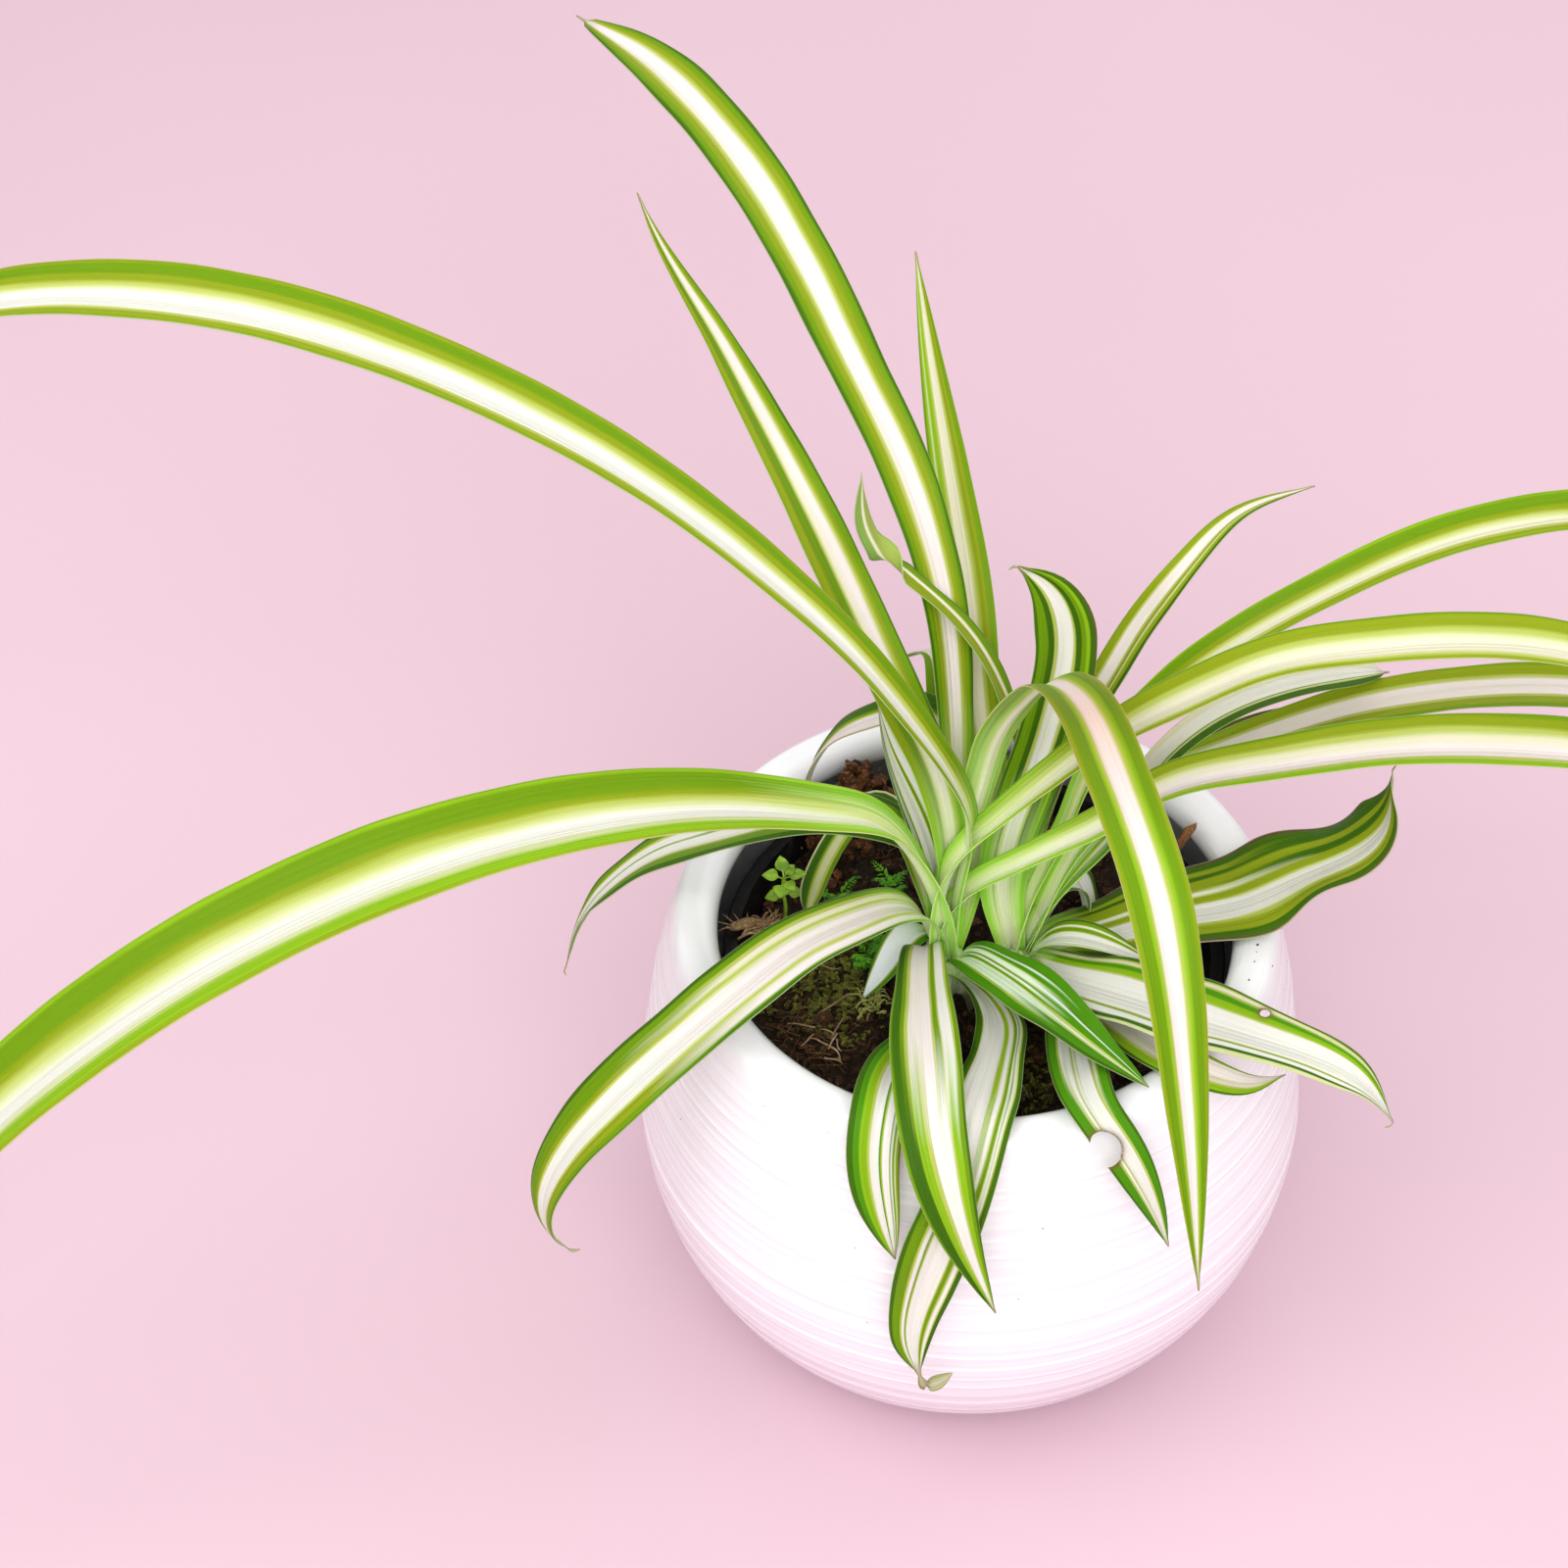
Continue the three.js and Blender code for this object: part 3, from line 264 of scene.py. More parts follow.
# The table of leaves. First the name and the SIZES, then the points of the course, then the stripes:
# where each ends, in thousandths of the width, and its tint, and the same near the tip where it
# differs. root is the share of the width at the foot, full and hold are the shares of the length
# where the leaf is widest, taper is the power of its narrowing, pale is how far up the foot is
# tender, and blur is how soft the stripes are.
SIZES = "width fold roll root full hold taper ripple clasp pale blur".split()
LEAVES = """
left_arch 23 20 -12 .25 .55 .6 2.2 .25 4 58 .032;
-7 -1 99, -9 -2 118, -19 -6 142, -32 -12.5 151.5, -54.8 -21.6 161.4, -82.4 -33 166, -109 -44.5 164.5,
-131.9 -53.4 157.6, -154.1 -61.9 147, -183.2 -73.8 126.2, -214.1 -85.7 91.2, -236 -94.7 57.1;
45 bright 261 green 335 olive 407 lime 474 pale 710 white 797 pale 955 bright 1000 olive

upper_left_arch 16 20 -10 .3 .75 .68 2.2 .25 3.5 40 .025;
-6 0 99, -4 0 121, -2.1 1 138, -20.5 0.7 175.7, -38.7 3.4 196.4, -63.6 7.5 217.5, -92.7 11.4 234.4,
-129.3 14.8 247.9, -160 19.8 248.8, -185.8 22.7 244.7, -210.4 26.8 231.8, -235.3 29.8 210.8;
45 olive 203 green 306 olive 368 lime 409 pale 792 white 860 lime 966 olive 1000 green

front_left_droop 15.5 7 0 .35 .5 .5 3 .5 3 24 .012;
-8 -1 99, -11 -3 114, -17 -9 122, -25 -17 126, -34 -24 127, -47 -36 124, -58 -43 117, -69 -49 108,
-78.9 -53.7 96.4, -84.2 -56.9 84.1, -83.2 -57.6 73.5, -79.6 -56.5 67.5;
56 dark 152 green 211 lime 277 cream 304 pale 347 lime 390 pale 717 blush 750 pale 792 lime 823 pale
937 blush 964 green 1000 dark;
56 dark 268 green 330 olive 364 lime 423 white 750 white 792 lime 909 olive 973 green 1000 dark

front_centre 14.5 8 0 .3 .6 .5 1.9 1 1.6 8 .009;
-8 -2 99, -10 -6 108, -10 -22 115, -8 -53 122, -6 -66 117, -2 -74 106, 2 -77 95, 7 -80 84;
30 green 149 dark 219 green 279 lime 601 blush 641 lime 710 green 739 lime 899 white 939 lime
1000 green;
49 green 259 dark 401 bright 473 lime 739 white 779 lime 879 bright 949 green 1000 dark

back_left_tall 12 26 0 .35 .5 .45 1.9 .5 2.5 40 .03;
-6 1 99, -6 4 123, -9 7 142, -20.4 15.8 164.9, -38.3 40.5 188.6, -54.2 67.4 200.5, -69.5 87.8 213.8,
-73.8 95.7 218.8;
27 dark 159 green 234 olive 291 lime 434 blush 527 cream 590 lime 789 green 966 olive 1000 green

back_tallest 13.6 16 0 .32 .8 .84 2.2 .5 3 42 .03;
-7 2 99, -5 11.1 123, -6 21.2 150, -9.4 31.3 173, -17.5 44.2 192.1, -28.4 58.3 207.3,
-39.1 75.3 218.3, -52.2 94.5 227.4, -70.6 118.3 232.3, -89.7 137.4 232.3;
50 dark 155 green 264 olive 317 lime 579 blush 640 cream 712 lime 825 olive 929 green 1000 dark

back_upright 11.2 24 0 .4 .5 .4 1.9 .4 1.6 34 .03;
-5 2 99, -0.8 11.1 117, 1.4 19.1 130, -1.2 26.2 146, -4.1 41.1 164, -8.8 61 178, -13.6 82.9 189.9,
-17.5 104.9 199;
127 green 282 olive 358 lime 618 cream 691 lime 837 bright 867 pale 949 bright 1000 green

back_narrow 5.8 16 30 .35 .4 .9 1.9 1 1.6 30 .02;
9 5 98, 8 10 113, 9 18 126, 8 22 138, 4 23 151, -2 25 164, -10 26 174, -20 27 184, -24 27 193,
-25 28 205;
58 dark 296 green 324 lime 415 blush 437 lime 936 olive 1000 green

front_arch 12.5 14 0 .4 .65 .65 1.9 .3 2.5 54 .03;
-5 1 99, -4 4 119, 0 9 137, 3 7 155, 8 2 170, 13 -9 186, 19 -29 199, 24 -47 201, 31 -68 196,
35 -81 185, 39 -95 162, 43 -108 131;
52 olive 269 green 339 bright 398 lime 662 blush 713 lime 785 bright 949 green 1000 olive

right_arch_high 12.2 24 10 .5 .45 .62 2.6 .3 3.5 52 .03;
-6 -2 99, -6 -2 122, -2.8 -1.1 129.9, 5.5 -0.1 139.9, 18.9 -1.7 158.2, 29.1 -5.2 171.8,
41.9 -8.3 184.7, 54.2 -9.7 194.3, 72.2 -9.3 198.7, 90.1 -6.6 198.5, 108.8 -3.7 194.4,
136.5 -6.6 186.4, 159.2 -5.6 172.5, 176.1 -5.5 156.6;
102 olive 189 lime 606 cream 665 pale 752 lime 967 olive 1000 green

right_arch_low 15.5 30 10 .26 .75 .76 2.2 .3 3.5 50 .025;
-5 -3 98, -5 -1 111, 0 0 119, 8.2 -2.2 127.8, 16.4 -2.5 134.5, 25.6 -1.7 140.3, 37.6 1 149,
56.2 3.2 153.2, 84.2 5.5 157.5, 114.9 7.7 155.8, 139.3 9.6 148.8, 161.7 11.7 134.9, 178.3 13.8 117;
150 bright 263 lime 588 blush 684 cream 728 pale 808 lime 961 olive 1000 green

front_right_short 13 16 0 .4 .45 .5 1.9 1.6 1.6 6 .008;
-4 -2 97, -2 -5 104, 4 -13 109, 13 -25 114, 23 -37 116, 35 -48 116;
31 dark 184 leafy 232 lime 509 mint 525 lime 558 leafy 574 lime 609 mint 637 dark 652 lime 732 mint
748 lime 807 leafy 833 mint 860 dark 1000 leafy;
105 dark 352 leafy 408 lime 488 mint 542 lime 668 leafy 700 mint 732 dark 1000 leafy

front_striped 13 12 0 .2 .45 .72 2.6 2.2 1.6 8 .008;
-5 -3 96, 0 -9 100, 6 -22 104, 5 -40 110, 2 -59.4 115.5, 0 -66.8 107, -4 -71.8 97, -8 -73.4 80.5,
-9.6 -75.2 66.5, -7.6 -76.3 57.6;
120 dark 150 lime 544 white 573 lime 623 bright 652 lime 722 white 751 lime 801 green 831 white
861 green 890 white 920 lime 1000 dark;
60 dark 221 green 261 lime 322 white 352 green 383 lime 702 white 732 lime 791 green 821 lime
880 white 910 lime 1000 dark

front_under 11 12 0 .35 .5 .7 2.4 1 1.6 8 .009;
-8 -4 95, -9 -14 101, -8 -28 107, -15 -44 114, -17 -57 117, -18 -63 110, -16 -68 98, -13 -71 88;
103 dark 219 leafy 361 bright 412 lime 591 white 626 leafy 661 lime 796 white 828 green 859 white
900 green 930 pale 980 green 1000 rust

front_stub 6.5 14 0 .35 .4 .5 1.9 1 1.6 4 .01;
-9 3 101, -13 -1 107, -17 -9 105, -22 -13 99;
29 dark 78 leafy 116 lime 770 ice 836 lime 1000 leafy

left_low 13 18 0 .33 .4 .55 1.7 1 1.6 22 .012;
-8 1 99, -10 8 116, -17 9 126, -25 7 131, -36 5 132, -51.2 3.5 127.5, -64.6 4.9 119.9,
-75.5 4.4 109.4, -82.1 4.4 98.4, -85.6 4.1 85.2;
92 dark 206 green 251 lime 360 white 380 green 406 white 560 white 639 lime 864 green 1000 dark

rim_hugger 9 14 -28 .35 .5 .7 2.6 1 1.6 20 .015;
-7 4 99, -5 18 130, -7 23 141, -12 25 145, -19 26 142, -27 27 137, -32 29 129, -35 30 121, -36 31 114;
306 dark 385 green 431 lime 941 blush 971 pale 1000 rust

back_left_folded 9 24 0 .35 .5 .5 1.9 1 1.6 18 .008;
-8 3 99, -8 5 120, -12 11 129, -16 15 136, -19 18 142, -21 22 148;
76 bright 131 pale 376 white 401 lime 459 green 485 lime 793 white 828 lime 862 dark 884 white
916 dark 937 white 1000 dark

left_shaded 5.6 12 -70 .35 .4 .88 2.5 1 1.6 10 .015;
-8 5 98, -15 22 111, -21 31 113, -26 27 111, -31 20 107, -34 13 103, -35 9 99;
72 pale 333 dark 403 green 472 lime 730 pale 850 lime 1000 green

back_hidden 8 14 0 .35 .5 .5 1.9 1 1.6 20 .015;
-6 5 99, -5 18 116, -7 24 130, -9 31 146, -11 42 146, -15 42 144, -20 41 141;
51 rust 101 pale 626 white 693 lime 1000 green

crumpled 9 22 30 .35 .4 .8 2.5 4 1.6 4 .012;
11 6 97, 14 11 104, 18 16 108, 22 16 104, 23 10 98;
102 dark 156 grey 545 white 581 grey 849 white 898 grey 1000 dark

b_back_curled 13 16 0 .35 .5 .8 1.9 1 1.6 30 .012;
8 3 98, 5 6 117, 7 11 125, 12 20 138, 15 22 154, 16 25 169, 12 27 179, 6 27 183;
40 brown 119 dark 177 bright 253 green 346 dark 383 lime 635 white 689 lime 796 dark 940 green
1000 dark

b_right_long 11.5 24 10 .33 .8 .78 2.4 .3 3 46 .03;
9 2 98, 12 5 113, 19 10 130, 22.2 12.9 140.9, 37.3 17.2 161.1, 48.5 18.8 171.8, 64.4 24.7 179.6,
88 35.3 185.3, 114 45.5 184.5, 137.9 54.5 176.5, 157.9 62.5 161.5;
35 green 200 olive 291 lime 523 cream 576 pale 633 lime 726 olive 956 green 1000 bright

b_right_folded 7.5 34 20 .4 .4 .82 3 .6 1.6 34 .012;
11 3 98, 17 7 111, 28 12 124, 36.5 14.6 142.8, 46.7 18.9 151.5, 60.2 25.1 153.7, 74 32.1 151.3,
81.9 36.2 149.2;
319 dark 379 lime 416 white 464 green 491 lime 816 white 1000 cream

b_right_brown 6.3 30 20 .42 .4 .5 1.9 .6 1.6 34 .02;
11 5 98, 18 9 114, 28 15 126, 38 20 134, 46 25 136, 54 30 138, 68 37 137, 79 44 136;
172 olive 254 lime 639 blush 691 lime 862 olive 1000 brown

b_right_low 12.5 26 15 .28 .75 .8 2.2 .4 3 50 .02;
12 4 98, 22 8 126, 37 14 139, 45 16 142, 61 22 145, 76 28 146, 97 34.8 144.8, 120 42.7 138.8,
141.8 47.6 130.7, 160.6 54.7 114.7;
99 green 341 olive 443 lime 731 blush 789 lime 957 olive 1000 green

b_back_right 8 22 0 .35 .5 .5 1.9 .4 1.6 30 .014;
10 5 98, 12 17 119, 17.5 25.9 134.8, 25.2 31.6 148.5, 31.2 37.4 158.4, 38.9 40 171, 49.4 53.6 174.6,
65.9 66.2 172.2;
108 dark 225 olive 251 lime 290 pale 384 olive 463 lime 734 blush 784 lime 944 olive 1000 green

b_right_wavy 22.5 10 0 .3 .45 .62 2 2.2 1.6 10 .009;
11 2 96, 18 4 100, 27 4 103, 41.3 5.3 108.3, 53.9 4.5 113.4, 65.1 6 120.1, 76.6 7.6 126.5,
82.3 8.2 135.1, 81.8 11.2 146;
28 brown 95 dark 210 olive 244 lime 533 white 549 lime 618 olive 634 pale 657 white 669 pale 781 olive
827 dark 895 olive 968 dark 1000 brown;
28 brown 95 dark 198 olive 244 lime 526 white 557 lime 634 olive 713 dark 799 olive 957 dark
1000 brown

b_front_right 19 12 0 .3 .45 .45 1.9 1 1.6 8 .008;
11 0 97, 19 -13 107, 33 -24 114, 44 -31.9 118.1, 56.3 -39.4 121.6, 68.7 -43.8 121.1, 77.1 -45.9 117,
82.7 -48.5 109.4;
44 pale 99 dark 162 white 178 white 207 green 231 lime 704 white 728 lime 804 bright 869 leafy
898 lime 933 cream 958 lime 1000 dark

b_front_right_under 12 12 0 .3 .5 .5 1.9 1 1.6 8 .012;
11 0 94, 26 -18 104, 37 -34 111, 43 -43 116, 50 -45 115, 58 -42 111, 62 -40 112;
59 dark 229 bright 288 lime 552 cream 919 blush 949 lime 1000 green

b_right_short 6.5 18 0 .35 .4 .5 1.9 1 1.6 5 .012;
12 1 98, 17 -2 108, 26 -6 111, 37 -8 107;
78 grey 628 white 656 lime 748 green 770 lime 824 white 847 lime 948 green 1000 dark

b_front_bitten 11.5 12 0 .3 .5 .5 1.9 1 1.6 8 .009;
10 -1 94, 15 0 100, 19 -15 103, 21 -36 110, 24 -54 116, 29.8 -60 112, 36.1 -63 100, 40.6 -63 85.5;
49 dark 179 leafy 219 lime 408 white 440 lime 471 mint 503 lime 692 white 721 leafy 745 lime 779 white
808 lime 949 leafy 1000 dark;
59 dark 260 leafy 323 lime 387 white 429 lime 702 white 759 lime 939 leafy 1000 dark"""
# What most leaves share, and where single leaves differ: the steps of their mesh in columns and in
# millimetres, a slow wave of the margins, a swollen tip, the points of a hooked one past the course's
# end, a twist from one share of the length to another by so many degrees, a bite by its place and
# radius, and the shares of the length where a painted pink reflection darkens the top of an arch.
USUAL = dict(columns=22, step=1.5, wave=0, swell=0, hook=(), twist=None, bite=None, blushed=None)
SINGLE = {
    "left_arch": dict(columns=26),
    "front_left_droop": dict(hook=[(1.2, -0.4, 0.2), (2.2, -0.6, 0.9)]),
    "back_narrow": dict(twist=(0.77, 0.86, 165)),
    "front_arch": dict(blushed=(0.36, 0.5, 0.66)),
    "front_striped": dict(wave=0.7, swell=1.2,
                          hook=[(1, -1.4, -1.5), (3.2, -1, -1.5), (6.6, 0.4, 0.3)]),
    "left_low": dict(hook=[(-0.3, -0.3, -0.9), (0, -0.5, -1.8)]),
    "b_back_curled": dict(hook=[(-1, -0.2, 0.1), (-1.9, -0.4, -0.6)]),
    "b_right_wavy": dict(wave=1.2, columns=34, step=0.9, hook=[(0.5, 0.2, 1.3), (0.1, 0.4, 2.4)]),
    "b_front_right": dict(wave=0.5, columns=48, step=0.5, hook=[(-0.2, -0.3, -0.9), (-1.3, -0.5, -1.4)],
                          bite=(0.727, 0.656, 1.15)),
    "b_front_bitten": dict(columns=40, step=0.6, bite=(-0.58, 0.701, 3.4)),
}


def leaf_width(row, t):
    """Width at a share of the length: a quarter sine wave up from the foot, full, then a power curve
    down to the tip."""
    widening = row.root + (1 - row.root) * sin(minimum(t / row.full, 1) * pi / 2)
    past = clip((t - row.hold) / (1 - row.hold), 0, 1)
    return np.maximum(row.width * widening * (1 - past ** row.taper), TIP_WIDTH)


def blade(row, seed):
    """A leaf as a closed sheet over shares of its length t and of its width s from -1 to 1.

    The point is the course at t, plus s half-widths across, plus up: a gutter sqrt(s^2 + e^2), convex
    shoulders sin(pi |s|), and margins that ripple by sines of the length. A bell curve of the length
    widens the foot, which is folded more by a power curve, and a half sine swells a hooked tip. The
    lower face lies one thickness under the upper, thinner towards the margins. A bite leaves out
    the faces in a circle and draws the points of its border on to it."""
    rng = np.random.default_rng(seed)
    course = row.course
    main, length = even_steps(spline(course), COURSE_STEPS)
    main = softened(main, int(round(COURSE_SOFTNESS / (length / (COURSE_STEPS - 1)))))
    rows, columns = int(clip(length / row.step, 50, 240)), row.columns
    curve, length = even_steps(main, rows)
    t = linspace(0, 1, rows)
    half = leaf_width(row, t) / 2 + row.clasp / 2 * exp(-(t * length / CLASP_REACH) ** 2)
    if row.hook:
        hooked = spline(vstack([main[-40:-1:13], main[-1:], main[-1] + array(row.hook)]))
        start = np.argmin(np.linalg.norm(hooked - main[-1], axis=1))
        bend, _ = even_steps(hooked[start:], HOOK_STEPS + 1)
        swell = row.swell * sin(linspace(0, pi, HOOK_STEPS))
        curve, t = vstack([curve, bend[1:]]), np.append(t, np.ones(HOOK_STEPS))
        half = np.append(half, linspace(TIP_WIDTH / 2, HOOK_END, HOOK_STEPS) + swell)
    else:
        half = where(t > 0.985, minimum(half, 0.14 + (1 - t) / 0.015 * 0.3), half)
    along = unit(np.gradient(curve, axis=0))
    ahead = course[-1] - course[0]
    level = unit(array([-ahead[1], ahead[0], 0]))
    across = unit(level - along * (along @ level)[:, None])
    turn = row.roll * t
    if row.twist:
        begin, end, degrees = row.twist
        turn = turn + degrees * ease(t, begin, end)
    across, up = turned(across, np.cross(along, across), -radians(turn)[:, None])

    s = linspace(-1, 1, columns + 1)
    T, S = np.meshgrid(t, s, indexing="ij")
    wide, run = half[:, None], T * length
    calm = minimum(wide / 4, 1)
    fold = radians(row.fold + CLASP_FOLD * clip(1 - t / CLASP_SHARE, 0, 1) ** 1.5)[:, None]
    e = GUTTER_SOFTNESS
    gutter = (sqrt(s**2 + e**2) - e) / (sqrt(1 + e**2) - e)
    rise = wide * sin(fold) * gutter + SHOULDER * wide * sin(pi * np.abs(S))
    rise = rise + row.wave * calm * sin(T * 3.5 * TAU + np.sign(S) * 1.4) * np.abs(S) ** 1.5
    for size, pitch in RIPPLES:
        phase = rng.uniform(0, TAU, 2)
        ripple = where(S < 0, sin(run * TAU / pitch + phase[0]),
                       sin(run * TAU / (pitch * 1.13) + phase[1]))
        rise = rise + row.ripple * size * calm * np.abs(S) ** 2.2 * ripple * ease(T, 0.06, 0.2)
    sway = sin(run * TAU / SWAY_PITCH + rng.uniform(0, TAU)) * np.abs(S)
    out = S * wide * cos(fold) + np.sign(S) * row.ripple * 0.02 * wide * sway
    sheet = curve[:, None] + across[:, None] * out[..., None] + up[:, None] * rise[..., None]
    thick = MARGIN_THICKNESS + (BLADE_THICKNESS - MARGIN_THICKNESS) * (1 - np.abs(S) ** 3)
    shift = up[:, None] * (thick * clip(wide / 1.2, 0.45, 1) / 2)[..., None]

    both_faces = lambda upper, lower: concatenate([upper, lower[:, ::-1]], 1)
    count, ring = len(t), 2 * (columns + 1)
    points = both_faces(sheet + shift, sheet - shift)
    keep, rim, walls = np.ones((count - 1, ring), bool), np.zeros_like(S), []
    if row.bite:
        at_s, at_t, radius = row.bite
        dx, dy = (S - at_s) * wide, (T - at_t) * length
        away = hypot(dx, dy)
        inside = away < radius
        gone = inside[:-1, :-1] & inside[1:, :-1] & inside[:-1, 1:] & inside[1:, 1:]
        near = np.pad(np.pad(gone, ((0, 0), (1, 1)), mode="edge"), ((1, 1), (0, 0)))
        faces = np.stack([near[i:i + count, j:j + columns + 1] for i in (0, 1) for j in (0, 1)])
        pull = where(faces.any(0) & ~faces.all(0), radius / np.maximum(away, 1e-6) - 1, 0)
        move = across[:, None] * (dx * pull)[..., None] + along[:, None] * (dy * pull)[..., None]
        points = points + both_faces(move, move)
        rim = exp(-np.abs(away - radius) / 0.45)
        keep = ~concatenate([gone, gone[:, -1:], gone[:, ::-1], gone[:, :1]], 1)
        walls = [bite_walls(gone, ring)]
    j = np.arange(columns)
    foot = xyz(j, j + 1, ring - 2 - j, ring - 1 - j)
    tip = foot[:, ::-1] + (count - 1) * ring
    quads = vstack([grid_quads(count, ring, wrap=True)[keep.ravel()], foot, tip, *walls])

    share = linspace(0, 1, columns + 1)
    traits = {"under": both_faces(0 * S, 0 * S + 1), "rim": both_faces(rim, rim)}
    return make_mesh("blade_" + row.name, points, quads, traits=traits,
                     uv=xyz(np.append(share, share[::-1]), t[:, None])), length


def bite_walls(gone, ring):
    """Quads that join the two faces round a hole: one for each side of a missing face that has a face
    still beside it."""
    rows, columns = gone.shape
    missing = np.pad(gone, 1, constant_values=True)
    walls = []
    for di, dj, a, b in ((-1, 0, (0, 0), (0, 1)), (1, 0, (1, 1), (1, 0)),
                         (0, -1, (1, 0), (0, 0)), (0, 1, (0, 1), (1, 1))):
        i, j = np.nonzero(gone & ~missing[1 + di:1 + di + rows, 1 + dj:1 + dj + columns])
        first, second = (i + a[0]) * ring, (i + b[0]) * ring
        here, there = j + a[1], j + b[1]
        walls.append(xyz(first + here, second + there, second + ring - 1 - there,
                         first + ring - 1 - here))
    return vstack(walls)


def stripe_stops(text, blur):
    """Stops of a colour ramp: two for each broad stripe, just inside its ends, and one at the middle of
    a narrow one."""
    words = text.split()
    ends = [0] + [int(word) / 1000 for word in words[::2]]
    stops = []
    for low, high, tint in zip(ends, ends[1:], words[1::2]):
        if high - low < max(0.033, 2.2 * blur) and 0 < low and high < 1:
            stops.append(((low + high) / 2, TINTS[tint]))
        else:
            soft = min(blur, (high - low) * 0.45)
            stops += [(low + soft, TINTS[tint]), (high - soft, TINTS[tint])]
    return stops


def leaf_finish(row, length, phase):
    """Stripes along the leaf that waver and fray, fine parallel veins, a pale foot, a dry tip, a paler
    lower face, and a satin skin that lets some light through."""
    blur, fine = row.blur, row.blur < 0.02
    skin = Finish("skin_" + row.name, Subsurface_Radius=(0.8, 1.0, 0.4), Subsurface_Scale=0.0014,
                  Specular_IOR_Level=0.08)
    uv = skin.node("UVMap", {}, uv_map="UVMap").outputs[0]
    u, v, _ = skin.node("SeparateXYZ", {0: uv}).outputs

    def grain(across, along, shift, detail, roughness=0.5):
        """Noise drawn out along the leaf, with so many lumps to the millimetre across and along."""
        inputs = {"Vector": uv, "Scale": (row.width * across, length * along, 1),
                  "Location": (phase + shift, phase + shift, 0)}
        return skin.noise(skin.node("Mapping", inputs).outputs[0], 1.0, detail, roughness)

    sway, fray = grain(0.12, 0.03, 0, 1.5), grain(1.3, 0.025, 3, 3, 0.6)
    vein, patch = grain(3.2, 0.012, 7, 2, 0.55), grain(0.25, 0.05, 11, 2)
    moved = skin.plus(skin.plus(u, skin.waver(sway, 0.1)), skin.waver(fray, 0.045))
    colour = skin.ramp(moved, *stripe_stops(row.stripes, blur))
    for tip in row.tip:
        near_tip = skin.span(skin.plus(v, skin.times(fray, 0.3)), 0.58, 0.8)
        colour = skin.mix(near_tip, colour, skin.ramp(moved, *stripe_stops(tip, blur)))
    veins = skin.ramp(vein, (0.3, (0.76, 0.86, 0.6)), (0.45, (0.97, 0.985, 0.94)),
                      (0.6, (1, 1, 1)), (0.8, (1.0, 1.0, 0.95)))
    colour = skin.mix(0.3 if fine else 0.14, colour, veins, "MULTIPLY")
    colour = skin.mix(skin.span(patch, 0.3, 0.7, 0.0, 0.35), colour, (0.92, 0.97, 0.8), "MULTIPLY")
    foot_at = row.pale / length
    foot = skin.span(skin.plus(v, skin.waver(fray, foot_at * 0.9)), foot_at * 1.35, foot_at * 0.25)
    edge = skin.sum("ABSOLUTE", skin.sum("SUBTRACT", u, 0.5))
    tender = skin.ramp(skin.plus(edge, skin.waver(fray, 0.22)), (0.12, (0.84, 0.99, 0.54)),
                       (0.28, (0.7, 0.97, 0.32)), (0.41, (0.34, 0.8, 0.05)), (0.5, (0.5, 0.88, 0.14)))
    colour = skin.mix(skin.times(foot, 0.9), colour, tender)
    dry = skin.span(skin.plus(v, skin.times(vein, 0.02)), 0.975, 1.012)
    colour = skin.mix(skin.times(dry, 0.7), colour, (0.3, 0.22, 0.12))
    colour = skin.mix(skin.times(skin.span(edge, 0.487, 0.5), 0.55), colour, (0.5, 0.56, 0.3))
    colour = skin.mix(skin.times(skin.trait("under"), 0.16), colour, (0.66, 0.82, 0.42))
    # Painted reflection: a pinkish darkening over the top of the arch, where it faces the light.
    if row.blushed:
        low, middle, high = row.blushed
        reflection_share = skin.times(skin.span(v, low, middle), skin.span(v, high, middle))
        colour = skin.mix(reflection_share, colour, (0.88, 0.72, 0.66), "MULTIPLY")
    if row.bite:
        colour = skin.mix(skin.trait("rim"), colour, (0.16, 0.07, 0.03))
    pleats = skin.bump(grain(0.9, 0.006, 5, 1), 0.5, 0.0009)
    return skin.done(colour, skin.span(fray, 0.3, 0.7, 0.36, 0.5),
                     skin.bump(vein, 0.5 if fine else 0.25, 0.00035, Normal=pleats),
                     **{"Subsurface Weight": skin.span(foot, 0.0, 1.0, 0.3, 0.85)})


FIRST_SEED, PHASE_STEP = 300, 1.7
for number, text in enumerate(LEAVES.split("\n\n")):
    sizes, course, stripes, *tip = text.split(";")
    name, *sizes = sizes.split()
    row = Namespace(name=name, course=table(course), stripes=stripes, tip=tip,
                    **dict(zip(SIZES, map(float, sizes))), **{**USUAL, **SINGLE.get(name, {})})
    piece, length = blade(row, FIRST_SEED + number)
    settle(piece, leaf_finish(row, length, PHASE_STEP * number), "leaf_green", "leaf_" + name)


# ---- Cover pot ----

POT_SIDES, ARC_STEPS, OUTER_STEPS, INNER_STEPS = 200, 900, 340, 110
POT_RADIUS, POT_WIDEST_Z, POT_BASE_RADIUS = 70.0, 59.0, 29.5
SHOULDER_RADIUS, SHOULDER_Z, FLOOR_Z = 61.3, 110.9, 5.0
LOWER_POWER, UPPER_POWER = 1.88, 1.3
FOOT_INNER, MOST_RELIEF, RING_SEED = 15, 0.35, 41
# From the shoulder over the lip to the mouth and on to the inner floor: radius and height.
LIP = table("""
61.3 110.9, 60.8 111.9, 59.6 112.4, 58 112.5, 56.2 112.45, 54.8 112.05, 53.3 110.8, 52.6 108.5,
53.3 105.5, 55.2 103.5, 60.6 95, 65 75, 67 59, 64.6 40, 58 22, 46 9.5, 38 5.2, 20 5""")
